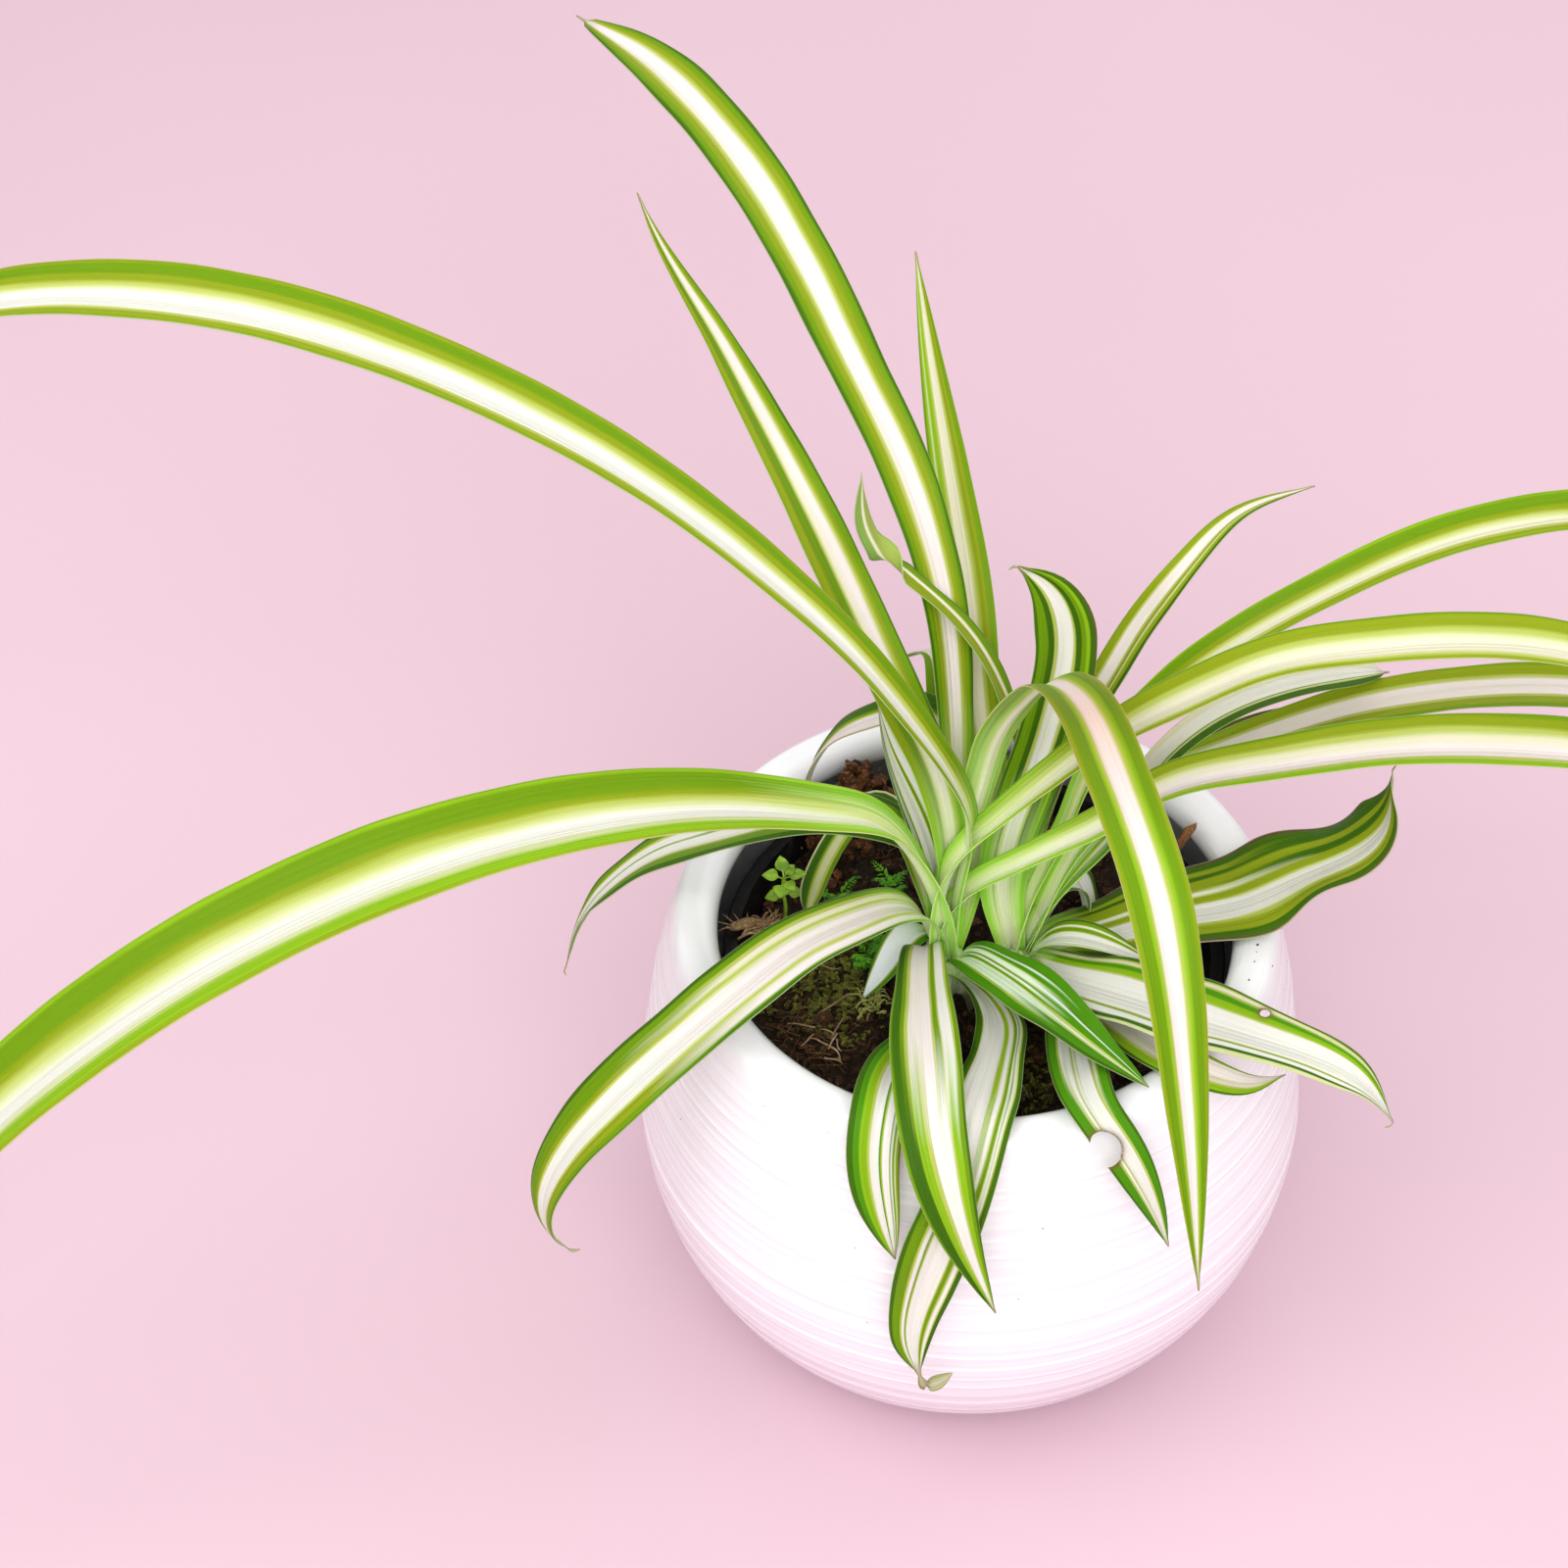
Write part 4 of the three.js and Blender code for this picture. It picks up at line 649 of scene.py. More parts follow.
# Turned rings on the outer wall: height, how far each stands out, and its half width.
RINGS = table("""
105.6 .1 .5, 102.1 .2 .45, 99.6 .16 .4, 97.1 .22 .5, 94.4 .1 .4, 92.1 .24 .5, 89.2 .2 .45, 86.8 .12 .5,
84.3 .24 .5, 81.2 .12 .4, 77.7 .22 .5, 75.2 .1 .4, 72.5 .22 .5, 70.1 .1 .4, 67.6 .2 .5, 64 .12 .4,
60 .22 .5, 57.2 .1 .4, 54.2 .2 .5, 51.8 .1 .4, 49.4 .2 .5, 45.6 .18 .45, 41.4 .16 .5, 37 .12 .5,
32.2 .12 .5, 26.4 .1 .5, 20 .1 .5, 13 .08 .5""")


def outer_radius(z):
    """Radius of the wall outside: a superellipse arc below the widest height and another above it."""
    low = clip((POT_WIDEST_Z - z) / POT_WIDEST_Z, 0, 1)
    high = clip((z - POT_WIDEST_Z) / (SHOULDER_Z - POT_WIDEST_Z), 0, 1)
    below, above = (radius + (POT_RADIUS - radius) * (1 - share**power) ** (1 / power)
                    for radius, share, power in ((POT_BASE_RADIUS, low, LOWER_POWER),
                                                 (SHOULDER_RADIUS, high, UPPER_POWER)))
    return where(z < POT_WIDEST_Z, below, above)


def quarter_arc(radius, height, power):
    """Radius and height of such an arc over an angle, from the widest circle to this radius and this
    much higher: the angle's cosine and sine, each to the power of 2 / power."""
    angle = linspace(0, pi / 2, ARC_STEPS)
    return xyz(radius + (POT_RADIUS - radius) * cos(angle) ** (2 / power),
               POT_WIDEST_Z + height * sin(angle) ** (2 / power))


def glazed_pot():
    """The pot turned about its axis: from its foot up the outer wall by arc length, over the lip and
    down to the inner floor. Rings stand out of the outer wall as narrow bell curves of the height,
    each wandering and fading by slow sines of the angle, over a broad faint swell of two sines."""
    rng = np.random.default_rng(RING_SEED)
    low = quarter_arc(POT_BASE_RADIUS, -POT_WIDEST_Z, LOWER_POWER)[::-1]
    high = quarter_arc(SHOULDER_RADIUS, SHOULDER_Z - POT_WIDEST_Z, UPPER_POWER)
    outer, _ = even_steps(vstack([low, high[1:]]), OUTER_STEPS)
    inner, _ = even_steps(spline(LIP), INNER_STEPS)
    radius, height = vstack([[(FOOT_INNER, 0)], outer, inner[1:]]).T[..., None]
    angle = circle(POT_SIDES)
    relief = 0
    for z, rise, half in RINGS:
        phase = rng.uniform(0, TAU, 4)
        wander = sum(size * sin(waves * angle + shift)
                     for size, waves, shift in zip((0.35, 0.22, 0.1), (1, 3, 7), phase))
        fade = 0.72 + 0.28 * sin(2 * angle + phase[3])
        relief = relief + rise * fade * exp(-((height - z - wander) / half) ** 2)
    broad = 0.1 * sin(height * 0.9 + 0.6 * sin(angle)) * sin(height * 0.23)
    broad[OUTER_STEPS + 1:] = relief[OUTER_STEPS + 1:] = broad[0] = relief[0] = 0
    R = radius + minimum(relief + broad, MOST_RELIEF)
    points = xyz(R * cos(angle), R * sin(angle), height).reshape(-1, 3)
    return make_mesh("glazed_pot", vstack([points, [(0, 0, 0), (0, 0, FLOOR_Z)]]),
                     *tube_faces(len(R), POT_SIDES), traits={"ring": np.append(relief, [0, 0])})


def glaze_finish():
    """Glossy white glaze, faintly clouded, with a soft orange-peel surface. A painted highlight makes
    the rings whiter than the cool grey wall between them, and a painted pink reflection of the floor
    tints the wall towards its foot."""
    glaze = Finish("white_glaze", Specular_IOR_Level=0.5, Coat_Weight=0.35, Coat_Roughness=0.08,
                   Subsurface_Weight=0.08, Subsurface_Radius=(1.0, 0.9, 0.9), Subsurface_Scale=0.0015)
    spot = glaze.place()
    cloud = glaze.noise(spot, 0.05, 3)
    colour = glaze.ramp(cloud, (0.3, (0.82, 0.825, 0.855)), (0.7, (0.84, 0.85, 0.875)))
    height = glaze.node("SeparateXYZ", {0: spot}).outputs[2]
    # Painted pink reflection of the floor: the wall is painted pinker from 95 mm down towards the foot.
    colour = glaze.mix(glaze.span(height, 95, 30, 0.0, 0.8), colour, (0.845, 0.775, 0.85))
    # Painted highlight: the rings are painted whiter than the wall between them, as if they caught the
    # light.
    ring = glaze.span(glaze.trait("ring"), 0.02, 0.18, 0.0, 0.9)
    colour = glaze.mix(ring, colour, (0.9, 0.925, 0.935))
    line = glaze.noise(glaze.place((60, 60, 1300)), 1.0, 2, 0.7)
    colour = glaze.mix(glaze.span(line, 0.58, 0.7, 0.0, 0.14), colour, (0.64, 0.6, 0.63))
    peel = glaze.noise(spot, 0.55, 1)
    return glaze.done(colour, glaze.span(cloud, 0.3, 0.7, 0.14, 0.24),
                      glaze.bump(peel, 0.1, 0.0004, Normal=glaze.bump(line, 0.2, 0.0003)))


settle(glazed_pot(), glaze_finish(), "glazed_pot", "cover_pot")


# ---- Nursery pot, soil and what lies on it ----

def liner_finish():
    """Satin black moulded plastic with a fine grain, dusted with soil in patches."""
    plastic = Finish("black_plastic", Specular_IOR_Level=0.15)
    spot = plastic.place()
    grain, dust = plastic.noise(spot, 2.2, 2), plastic.noise(spot, 0.16, 4, 0.65)
    colour = plastic.ramp(grain, (0.35, (0.003, 0.003, 0.003)), (0.7, (0.009, 0.008, 0.009)))
    colour = plastic.mix(plastic.span(dust, 0.56, 0.7, 0.0, 0.55), colour, (0.055, 0.038, 0.026))
    return plastic.done(colour, plastic.span(dust, 0.35, 0.65, 0.38, 0.75),
                        plastic.bump(grain, 0.25, 0.0002))


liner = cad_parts["nursery_pot"]
liner.data.materials.clear()
liner.data.materials.append(liner_finish())

SOIL_LEVEL, SOIL_RIPPLE, SOIL_REACH = 95.0, 0.8, 47.0
SOIL_RIM, SOIL_FOOT, SOIL_FLOOR = 48.2, 34.7, 6.9
BED_RINGS, BED_SIDES = 84, 210
CROWNS = ((-6, -1), (9, 3))
CROWN_MIDDLE = (1.5, 1)


def soil_height(x, y):
    """Height of the soil: level, heaped at the back left by a bell curve, sunk round the crowns and at
    the left, and rippled by sines."""
    clod = 20 * exp(-((x + 27) ** 2 + (y - 40) ** 2) / 49)
    dips = 3 * exp(-((x + 48) / 16) ** 2 - ((y - 10) / 24) ** 2)
    for cx, cy in CROWNS:
        dips = dips + 4.5 * exp(-((x - cx) ** 2 + (y - cy) ** 2) / 9.5**2)
    ripple = sin(x * 0.41 + 1.3) * cos(y * 0.37) + 0.6 * sin(x * 0.9 - y * 0.7)
    return SOIL_LEVEL + clod - dips + SOIL_RIPPLE * ripple


def crumble(x, y):
    """Lumpy roughness of the soil: sines of falling size in many directions, folded by their absolute
    value so that lumps stand up between creases."""
    rng = np.random.default_rng(5)
    rough = 0
    for size, pitch in ((0.9, 9.0), (0.6, 4.6), (0.42, 2.6), (0.26, 1.5)):
        for _ in range(4):
            way, phase = rng.uniform(0, TAU), rng.uniform(0, TAU)
            run = (x * cos(way) + y * sin(way)) * pi / pitch
            rough = rough + size * (0.55 - np.abs(sin(run + phase)))
    return rough


def ground(x, y):
    """The soil with its roughness, which ends at the rim."""
    return soil_height(x, y) + crumble(x, y) * ease(SOIL_RIM - hypot(x, y), -1.0, 3.0)


def soil_bed():
    """The soil's top over radius and angle, its side wall and its floor, closed at both poles."""
    angle = circle(BED_SIDES)
    R = (linspace(0.012, 1, BED_RINGS) * SOIL_RIM)[:, None]
    x, y = R * cos(angle), R * sin(angle)
    top = xyz(x, y, ground(x, y)).reshape(-1, 3)
    low = xyz(SOIL_FOOT * cos(angle), SOIL_FOOT * sin(angle), SOIL_FLOOR)
    quads, fans = tube_faces(BED_RINGS + 1, BED_SIDES)
    poles = [(0, 0, soil_height(0.0, 0.0)), (0, 0, SOIL_FLOOR)]
    return make_mesh("soil_bed", vstack([top, low, poles]), quads[:, ::-1], fans[:, [0, 2, 1]])


def earth_finish(name, colours, pitch=1.0):
    """Soil and dry bits: dark to light by noise, with a third tint in flecks, matt and gritty. The
    three colours are in thousandths."""
    dark, light, tint = map(tuple, table(colours) / 1000)
    earth = Finish(name, Specular_IOR_Level=0.25)
    spot = earth.place()
    lumps, flecks = earth.noise(spot, 0.22 * pitch, 5, 0.7), earth.noise(spot, 0.8 * pitch, 3, 0.7)
    middle = tuple((a + b) / 2.6 for a, b in zip(dark, light))
    colour = earth.ramp(lumps, (0.32, dark), (0.5, middle), (0.7, light))
    colour = earth.mix(earth.span(flecks, 0.54, 0.68, 0.0, 0.8), colour, tint)
    return earth.done(colour, earth.span(flecks, 0.3, 0.7, 0.95, 0.62), earth.bump(flecks, 0.8, 0.0007))


def scatter(name, places, sizes, flatness, seed):
    """Lumps at the places: each a twenty-sided ball with its corners pushed in and out, stretched
    along three axes and turned at random."""
    rng = np.random.default_rng(seed)
    g = (1 + 5**0.5) / 2
    ball = unit(array([(-1, g, 0), (1, g, 0), (-1, -g, 0), (1, -g, 0), (0, -1, g), (0, 1, g),
                       (0, -1, -g), (0, 1, -g), (g, 0, -1), (g, 0, 1), (-g, 0, -1), (-g, 0, 1)]))
    faces = table("0 11 5, 0 5 1, 0 1 7, 0 7 10, 0 10 11, 1 5 9, 5 11 4, 11 10 2, 10 7 6, 7 1 8, 3 9 4,"
                  "3 4 2, 3 2 6, 3 6 8, 3 8 9, 4 9 5, 2 4 11, 6 2 10, 8 6 7, 9 8 1").astype(int)
    count = len(places)
    knobs = ball * rng.uniform(0.62, 1.25, (count, len(ball), 1))
    stretch = rng.uniform(0.7, 1.35, (count, 1, 3)) * (1, 0.8, flatness)
    turn, lean = rng.uniform(0, TAU, (count, 1)), rng.uniform(-0.5, 0.5, (count, 1))
    x, y, z = np.moveaxis(knobs * stretch * sizes[:, None, None], -1, 0)
    x, z = turned(x, z, lean)
    x, y = turned(x, y, turn)
    points = xyz(x, y, z) + places[:, None]
    triangles = faces + (np.arange(count) * len(ball))[:, None, None]
    return make_mesh(name, points, [], triangles, smooth=False)


STRAND_SINK, STRAND_TAPER = 0.2, 0.35


def strands(name, starts, bearings, lengths, radii, seed, bend, climb, sides=4, steps=7):
    """Thin bent stalks: each a centre line that turns by a sine of its length and rises by another,
    with a small ring of points carried along it."""
    rng = np.random.default_rng(seed)
    count, t = len(starts), linspace(0, 1, steps)
    bearings, lengths, radii = (np.asarray(row)[:, None] for row in (bearings, lengths, radii))
    heading = bearings + bend * rng.uniform(-1, 1, (count, 1)) * sin(t * rng.uniform(2, 5, (count, 1)))
    step = lengths / (steps - 1)
    z = climb * lengths * sin(t * pi * rng.uniform(0.4, 1.0, (count, 1))) - STRAND_SINK
    line = xyz(np.cumsum(cos(heading) * step, 1), np.cumsum(sin(heading) * step, 1), z)
    line = line + starts[:, None]
    along = unit(np.gradient(line, axis=1))
    side = unit(np.cross(along, [0, 0, 1.0]))
    over = np.cross(side, along)
    angle = circle(sides)[:, None]
    ring = side[:, :, None] * cos(angle) + over[:, :, None] * sin(angle)
    girth = radii * (1 - (1 - STRAND_TAPER) * t**2)
    points = line[:, :, None] + ring * girth[..., None, None]
    one = grid_quads(steps, sides, wrap=True)[:, ::-1]
    if sides == 4:
        one = vstack([one, np.arange(4), (steps - 1) * 4 + np.arange(4)[::-1]])
    faces = one + (np.arange(count) * steps * sides)[:, None, None]
    return make_mesh(name, points, faces)


def on_soil(count):
    """Random places on the soil inside its rim and off the crowns."""
    angle = rng.uniform(0, TAU, count * 3)
    radius = SOIL_REACH * sqrt(rng.uniform(0, 1, count * 3))
    x, y = radius * cos(angle), radius * sin(angle)
    free = hypot((x - CROWN_MIDDLE[0]) / 17, (y - CROWN_MIDDLE[1]) / 11) > 1
    x, y = x[free][:count], y[free][:count]
    return xyz(x, y, ground(x, y))


def gathered(count, x, y, spread_x, spread_y, z=0.0):
    """Random places about a point, by a bell curve each way."""
    return xyz(x + rng.normal(0, spread_x, count), y + rng.normal(0, spread_y, count), z)


def within(places, radius):
    """Those of the places that are nearer to the axis than the radius."""
    return places[hypot(places[:, 0], places[:, 1]) < radius]


def strew(name, places, sizes, flatness, seed, slot, *finish):
    """Lumps at the places, of sizes between the two given, in a soil of their own."""
    lumps = scatter(name, places, rng.uniform(*sizes, len(places)), flatness, seed)
    settle(lumps, earth_finish(*finish), slot)


def strays(name, places, lengths, radii, seed, slot, finish, **form):
    """Strands that lie any way at the places, of lengths and radii between the two given."""
    count = len(places)
    made = strands(name, places, rng.uniform(0, TAU, count), rng.uniform(*lengths, count),
                   rng.uniform(*radii, count), seed, **form)
    settle(made, earth_finish(*finish), slot)


rng = np.random.default_rng(12)
settle(soil_bed(), earth_finish("damp_soil", "2 .8 .4, 32 14 4, 60 32 8"), "soil", "soil")
strew("soil_crumbs", on_soil(1500), (0.35, 1.25), 0.8, 21, "soil",
      "crumb_soil", "3 1.4 .6, 60 27 8, 110 62 16", 1.4)
strew("bark_chips", on_soil(240), (0.8, 2.3), 0.34, 22, "bark",
      "bark_chip", "14 5 2, 110 42 14, 200 100 35", 1.2)
# The reddish clod at the back left: loose on its slope, and heaped against the pot's wall.
loose = within(gathered(300, -29, 38, 5.5, 4.5), 47)
loose[:, 2] = soil_height(loose[:, 0], loose[:, 1]) + rng.uniform(0, 2.2, len(loose))
heap = gathered(420, -33.5, 35, 2.3, 2.3)
mound = 13 * exp(-((heap[:, 0] + 33.5) ** 2 + (heap[:, 1] - 35) ** 2) / 26)
heap[:, 2] = 96 + mound * rng.uniform(0, 1, 420) ** 0.6
strew("clod_crumbs", vstack([loose, within(heap, 49.3)]), (0.5, 1.9), 0.8, 25, "bark",
      "red_soil", "20 6 2, 170 60 18, 360 150 45", 1.3)
# Reddish fibres all over, more at the front left and on the clod, then thin straw.
places = vstack([on_soil(190), gathered(70, -34, -24, 4, 5, 95.6), gathered(90, -27, 40, 5, 5)])
on_clod = places[-90:]
on_clod[:, 2] = soil_height(on_clod[:, 0], on_clod[:, 1]) + 0.4
strays("soil_fibres", within(places, 45.5), (3, 9), (0.07, 0.22), 23, "bark",
       ("fibre", "50 18 7, 200 90 35, 280 160 70", 1.5), bend=1.4, climb=0.12)
places = table("""
-30.6 -19.1 96.6, -28.5 -23.5 96.6, -24.3 -9.2 96.8, -20 -12 96.8, -44 9 97, -38 13 97, -17 -15 96.6,
-33 -2 96.6, 20 -30 96.6, 30 -24 96.6, 33 18 96.8, -12 -34 96.4, -46 -2 96, -41 -10 96.4, 12 -36 96.4,
36 4 96.6, -10 34 96.6, -36 30 97""")
strays("straw_bits", places, (4, 10), (0.16, 0.36), 24, "dry_twig",
       ("straw", "160 100 50, 420 300 160, 500 400 220"), bend=1.0, climb=0.16)
# Pale branching roots at the front left, and a curled tuft of yellow-green straw by the short leaf.
places = table("""
-26.9 -20.5 96.9, -27.4 -22 96.9, -28.3 -24 96.9, -28.3 -24 96.9, -29.5 -27.2 96.8, -27.2 -21.5 97,
-31.5 -21 96.8""")
roots = strands("pale_roots", places, radians([255, 300, 200, 285, 310, 160, 235]),
                [5.5, 4.5, 4.0, 5.0, 4.2, 3.2, 5.0], [0.26, 0.2, 0.2, 0.24, 0.2, 0.16, 0.18], 26,
                bend=0.9, climb=0.25, sides=6, steps=10)
settle(roots, earth_finish("pale_root", "300 180 90, 620 460 280, 720 580 400"), "dry_twig")
spread = rng.normal(0, 1, (34, 2)) * (1.7, 1.0)
places = xyz(*(spread + (-20.6, -13.6)).T, 97.2)
strays("straw_tuft", places, (1.6, 4.2), (0.14, 0.32), 27, "dry_twig",
       ("pale_straw", "220 260 40, 500 520 140, 700 660 280"),
       bend=2.2, climb=0.5, sides=6, steps=9)


def leaflets(name, centres, ways, rises, lengths, widths):
    """Small pointed leaves, each a kite of eight points folded along its middle and drooping at its
    tip, raised and then turned about its foot."""
    outline = array([(0, 0, 0), (0.4, 0.5, 0.1), (0.45, 0, 0), (0.4, -0.5, 0.1),
                     (0.75, 0.34, 0.02), (0.8, 0, -0.05), (0.75, -0.34, 0.02), (1, 0, -0.16)])
    x, y, z = np.moveaxis(outline * xyz(lengths, widths, lengths)[:, None], -1, 0)
    x, z = turned(x, z, rises[:, None])
    x, y = turned(x, y, ways[:, None])
    shift = (np.arange(len(centres)) * len(outline))[:, None, None]
    return make_mesh(name, xyz(x, y, z) + centres[:, None],
                     array([(1, 2, 5, 4), (2, 3, 6, 5)]) + shift,
                     array([(0, 2, 1), (0, 3, 2), (4, 5, 7), (5, 6, 7)]) + shift)


def green_finish(name, colours, pitch=1.0):
    """Soft green of small plants: two greens by noise with lighter flecks, a little light through."""
    low, high, light = map(tuple, table(colours) / 1000)
    green = Finish(name, Subsurface_Weight=0.15, Subsurface_Radius=(0.6, 0.9, 0.2),
                   Subsurface_Scale=0.0008, Specular_IOR_Level=0.35)
    spot = green.place()
    cloud, fleck = green.noise(spot, 0.35 * pitch, 3), green.noise(spot, 1.4 * pitch, 2)
    colour = green.mix(green.span(fleck, 0.52, 0.72, 0.0, 0.7),
                       green.ramp(cloud, (0.34, low), (0.66, high)), light)
    return green.done(colour, green.span(cloud, 0.3, 0.7, 0.45, 0.7), green.bump(fleck, 0.4, 0.0003))


def moss(name, centres, least, most, seed, finish):
    """Feathery sprigs: pairs of leaflets along an arched line, which shorten towards its tip. Their
    centres, bearings, rises, lengths and widths are worked out as whole arrays."""
    way, tall = rng.uniform(0, TAU, (len(centres), 1)), rng.uniform(least, most, (len(centres), 1))
    chance, pairs = np.random.default_rng(seed), 9
    t = linspace(0.12, 1, pairs)[None]
    reach = tall * t
    at = xyz(cos(way) * reach, sin(way) * reach, tall * 0.75 * sin(t * 1.9)) + centres[:, None]
    size = tall * 0.36 * (1.08 - t) + 0.25
    both = []
    for side in (-1, 1):
        turn = way + side * (1.15 - 0.4 * t) + chance.uniform(-0.2, 0.2, size.shape)
        rise = chance.uniform(-0.1, 0.5, size.shape)
        both.append([at.reshape(-1, 3), turn.ravel(), rise.ravel(), size.ravel(), size.ravel() * 0.36])
    settle(leaflets(name, *map(concatenate, zip(*both))), finish, "seedling_green")


# Bright feathery moss by the crown, and dull olive moss over the front of the bed.
rng = np.random.default_rng(31)
places = vstack([gathered(44, -20.5, 4, 2.2, 5.0), gathered(7, -29, 17, 1.2, 1.5),
                 gathered(7, -18, 21, 1.2, 1.5)])
places[:, 2] = soil_height(places[:, 0], places[:, 1]) + 0.6
moss("feather_moss", places, 2.4, 6.0, 33,
     green_finish("feather_green", "30 170 2, 110 420 6, 280 620 30"))
places = within(vstack([gathered(420, -30, -7, 6.0, 6.5), gathered(120, 14, -33, 8, 5),
                        gathered(90, 34, 6, 5, 9)]), 46)
off_crowns = hypot((places[:, 0] - CROWN_MIDDLE[0]) / 16, (places[:, 1] - CROWN_MIDDLE[1]) / 10) > 1
places = places[off_crowns]
places[:, 2] = soil_height(places[:, 0], places[:, 1]) + crumble(places[:, 0], places[:, 1]) + 0.2
moss("olive_moss", places, 0.9, 2.0, 34,
     green_finish("olive_green", "40 42 2, 150 150 8, 340 330 60", 0.8))

SWELL_RINGS, SWELL_SIDES = 36, 72


def swelling(centre, along, across, low, high, shape, bearing=0.0):
    """A closed oval body over height and angle: at a share h of its height its half sizes are shape(h)
    of the full ones, notched by sines of the angle that lean with height, as sheaths wrap a shoot."""
    share = linspace(0, 1, SWELL_RINGS)[:, None]
    angle = circle(SWELL_SIDES)
    notch = 1 + 0.05 * sin(6 * angle + 2.2 * share) + 0.035 * sin(13 * angle - 3 * share)
    x, y = turned(along * shape(share) * notch * cos(angle), across * shape(share) * notch * sin(angle),
                  radians(bearing))
    points = xyz(centre[0] + x, centre[1] + y, low + (high - low) * share)
    return vstack([points.reshape(-1, 3), [(*centre, low - 0.2), (*centre, high + 0.2)]])


def rootstock():
    """The oval rootstock in the soil and a short neck of sheaths on it for each of the two crowns."""
    stock = lambda h: sin(pi * (0.06 + 0.88 * h) ** 0.8) ** 0.5
    neck = lambda h: (1.18 - 0.42 * h) * sqrt(clip((1 - h) * 8 + 0.05, 0, 1))
    bodies = np.stack([swelling((1.5, 1.0), 14.4, 7.2, 78.5, 95.5, stock, 15.0),
                       swelling((-6.6, -1.0), 5.6, 5.0, 86.0, 102.0, neck),
                       swelling((9.6, 2.6), 4.6, 4.2, 86.0, 98.5, neck)])
    shift = (np.arange(len(bodies)) * bodies.shape[1])[:, None, None]
    quads, fans = tube_faces(SWELL_RINGS, SWELL_SIDES)
    return make_mesh("crown_rootstock", bodies, quads + shift, fans + shift)


def crown_finish():
    """Pale green sheaths with fine upright veins, browner and dirtier where they meet the soil."""
    crown = Finish("crown_sheath", Subsurface_Weight=0.2, Subsurface_Radius=(0.9, 1.0, 0.4),
                   Subsurface_Scale=0.001)
    vein = crown.noise(crown.place((1000, 1000, 90)), 0.9, 3, 0.6)
    colour = crown.ramp(vein, (0.34, (0.42, 0.62, 0.16)), (0.5, (0.62, 0.78, 0.36)),
                        (0.66, (0.82, 0.88, 0.62)))
    height = crown.node("SeparateXYZ", {0: crown.place()}).outputs[2]
    dirt = crown.span(crown.plus(height, crown.times(vein, 4.0)), 98.5, 93.5)
    colour = crown.mix(crown.times(dirt, 0.85), colour, (0.07, 0.045, 0.022))
    return crown.done(colour, crown.span(vein, 0.3, 0.7, 0.4, 0.58), crown.bump(vein, 0.6, 0.0005))


settle(rootstock(), crown_finish(), "leaf_base", "clump")

WEED_X, WEED_Y, STEM_RADIUS, STEM_SIDES = -40, 13.5, 0.42, 10
WEED_ROWS, WEED_COLUMNS, STALK_SHARE, WEED_HALF_THICKNESS = 15, 9, 0.28, 0.09
# Bearing, rise, height of the foot, length and width of each small leaf.
WEED_LEAVES = table("""
175 12 105 4.6 3.2, 105 40 105.6 4.6 2.8, 50 35 105.2 3.6 2.6, 8 20 105 5 3, -50 5 104.6 3.6 2.6,
-100 -12 104.2 3.8 3.4, 190 8 99.6 4 3.2, 10 12 100 4 3.4""")


def weed():
    """The weed: each small leaf an oval over its length and width, on a thin stalk, dished and
    drooping; its stem a thin tube from soil to tuft."""
    t = linspace(0, 1, WEED_ROWS)[:, None]
    s = linspace(-1, 1, WEED_COLUMNS)[None]
    face = np.arange(WEED_ROWS * WEED_COLUMNS).reshape(WEED_ROWS, WEED_COLUMNS)
    edge = concatenate([face[:, 0], face[-1, 1:], face[-2::-1, -1], face[0, -2:0:-1]])
    after = np.roll(edge, -1)
    upper, lower = grid_quads(WEED_ROWS, WEED_COLUMNS), grid_quads(WEED_ROWS, WEED_COLUMNS)[:, ::-1]
    walls = xyz(edge, face.size + edge, face.size + after, after)
    one = vstack([upper, lower + face.size, walls])
    points, quads = [], []
    for number, (bearing, rise, height, length, width) in enumerate(WEED_LEAVES):
        past = clip((t - STALK_SHARE) / (1 - STALK_SHARE), 0, 1)
        oval = (width / 2) * sin(pi * past**0.72) ** 0.95 * (t > STALK_SHARE)
        wide = 0.05 + 0.11 * (1 - t) + oval
        z = 0.16 * s**2 * wide + 0.35 * sin(t * pi) - 0.5 * t**2
        for lift in (WEED_HALF_THICKNESS, -WEED_HALF_THICKNESS):
            x, up = turned(t * length + 0 * s, z + lift, radians(rise))
            x, y = turned(x, s * wide, radians(bearing))
            points.append(xyz(WEED_X + x, WEED_Y + y, height + up).reshape(-1, 3))
        quads.append(one + 2 * face.size * number)
    line = spline([(WEED_X, WEED_Y, 91), (WEED_X + 0.3, WEED_Y, 97),
                   (WEED_X - 0.2, WEED_Y + 0.2, 101), (WEED_X, WEED_Y, 105.4)], 6)
    angle = circle(STEM_SIDES)
    stem = line[:, None] + STEM_RADIUS * xyz(cos(angle), sin(angle), 0)
    quads.append(grid_quads(len(line), STEM_SIDES, wrap=True)[:, ::-1] + face.size * len(points))
    return make_mesh("seedling_weed", vstack([*points, stem.reshape(-1, 3)]), vstack(quads))


settle(weed(), green_finish("weed_green", "150 300 12, 280 500 30, 460 640 100", 0.6),
       "seedling_green", "seedling")

STICK_ROWS, STICK_SIDES = 48, 28


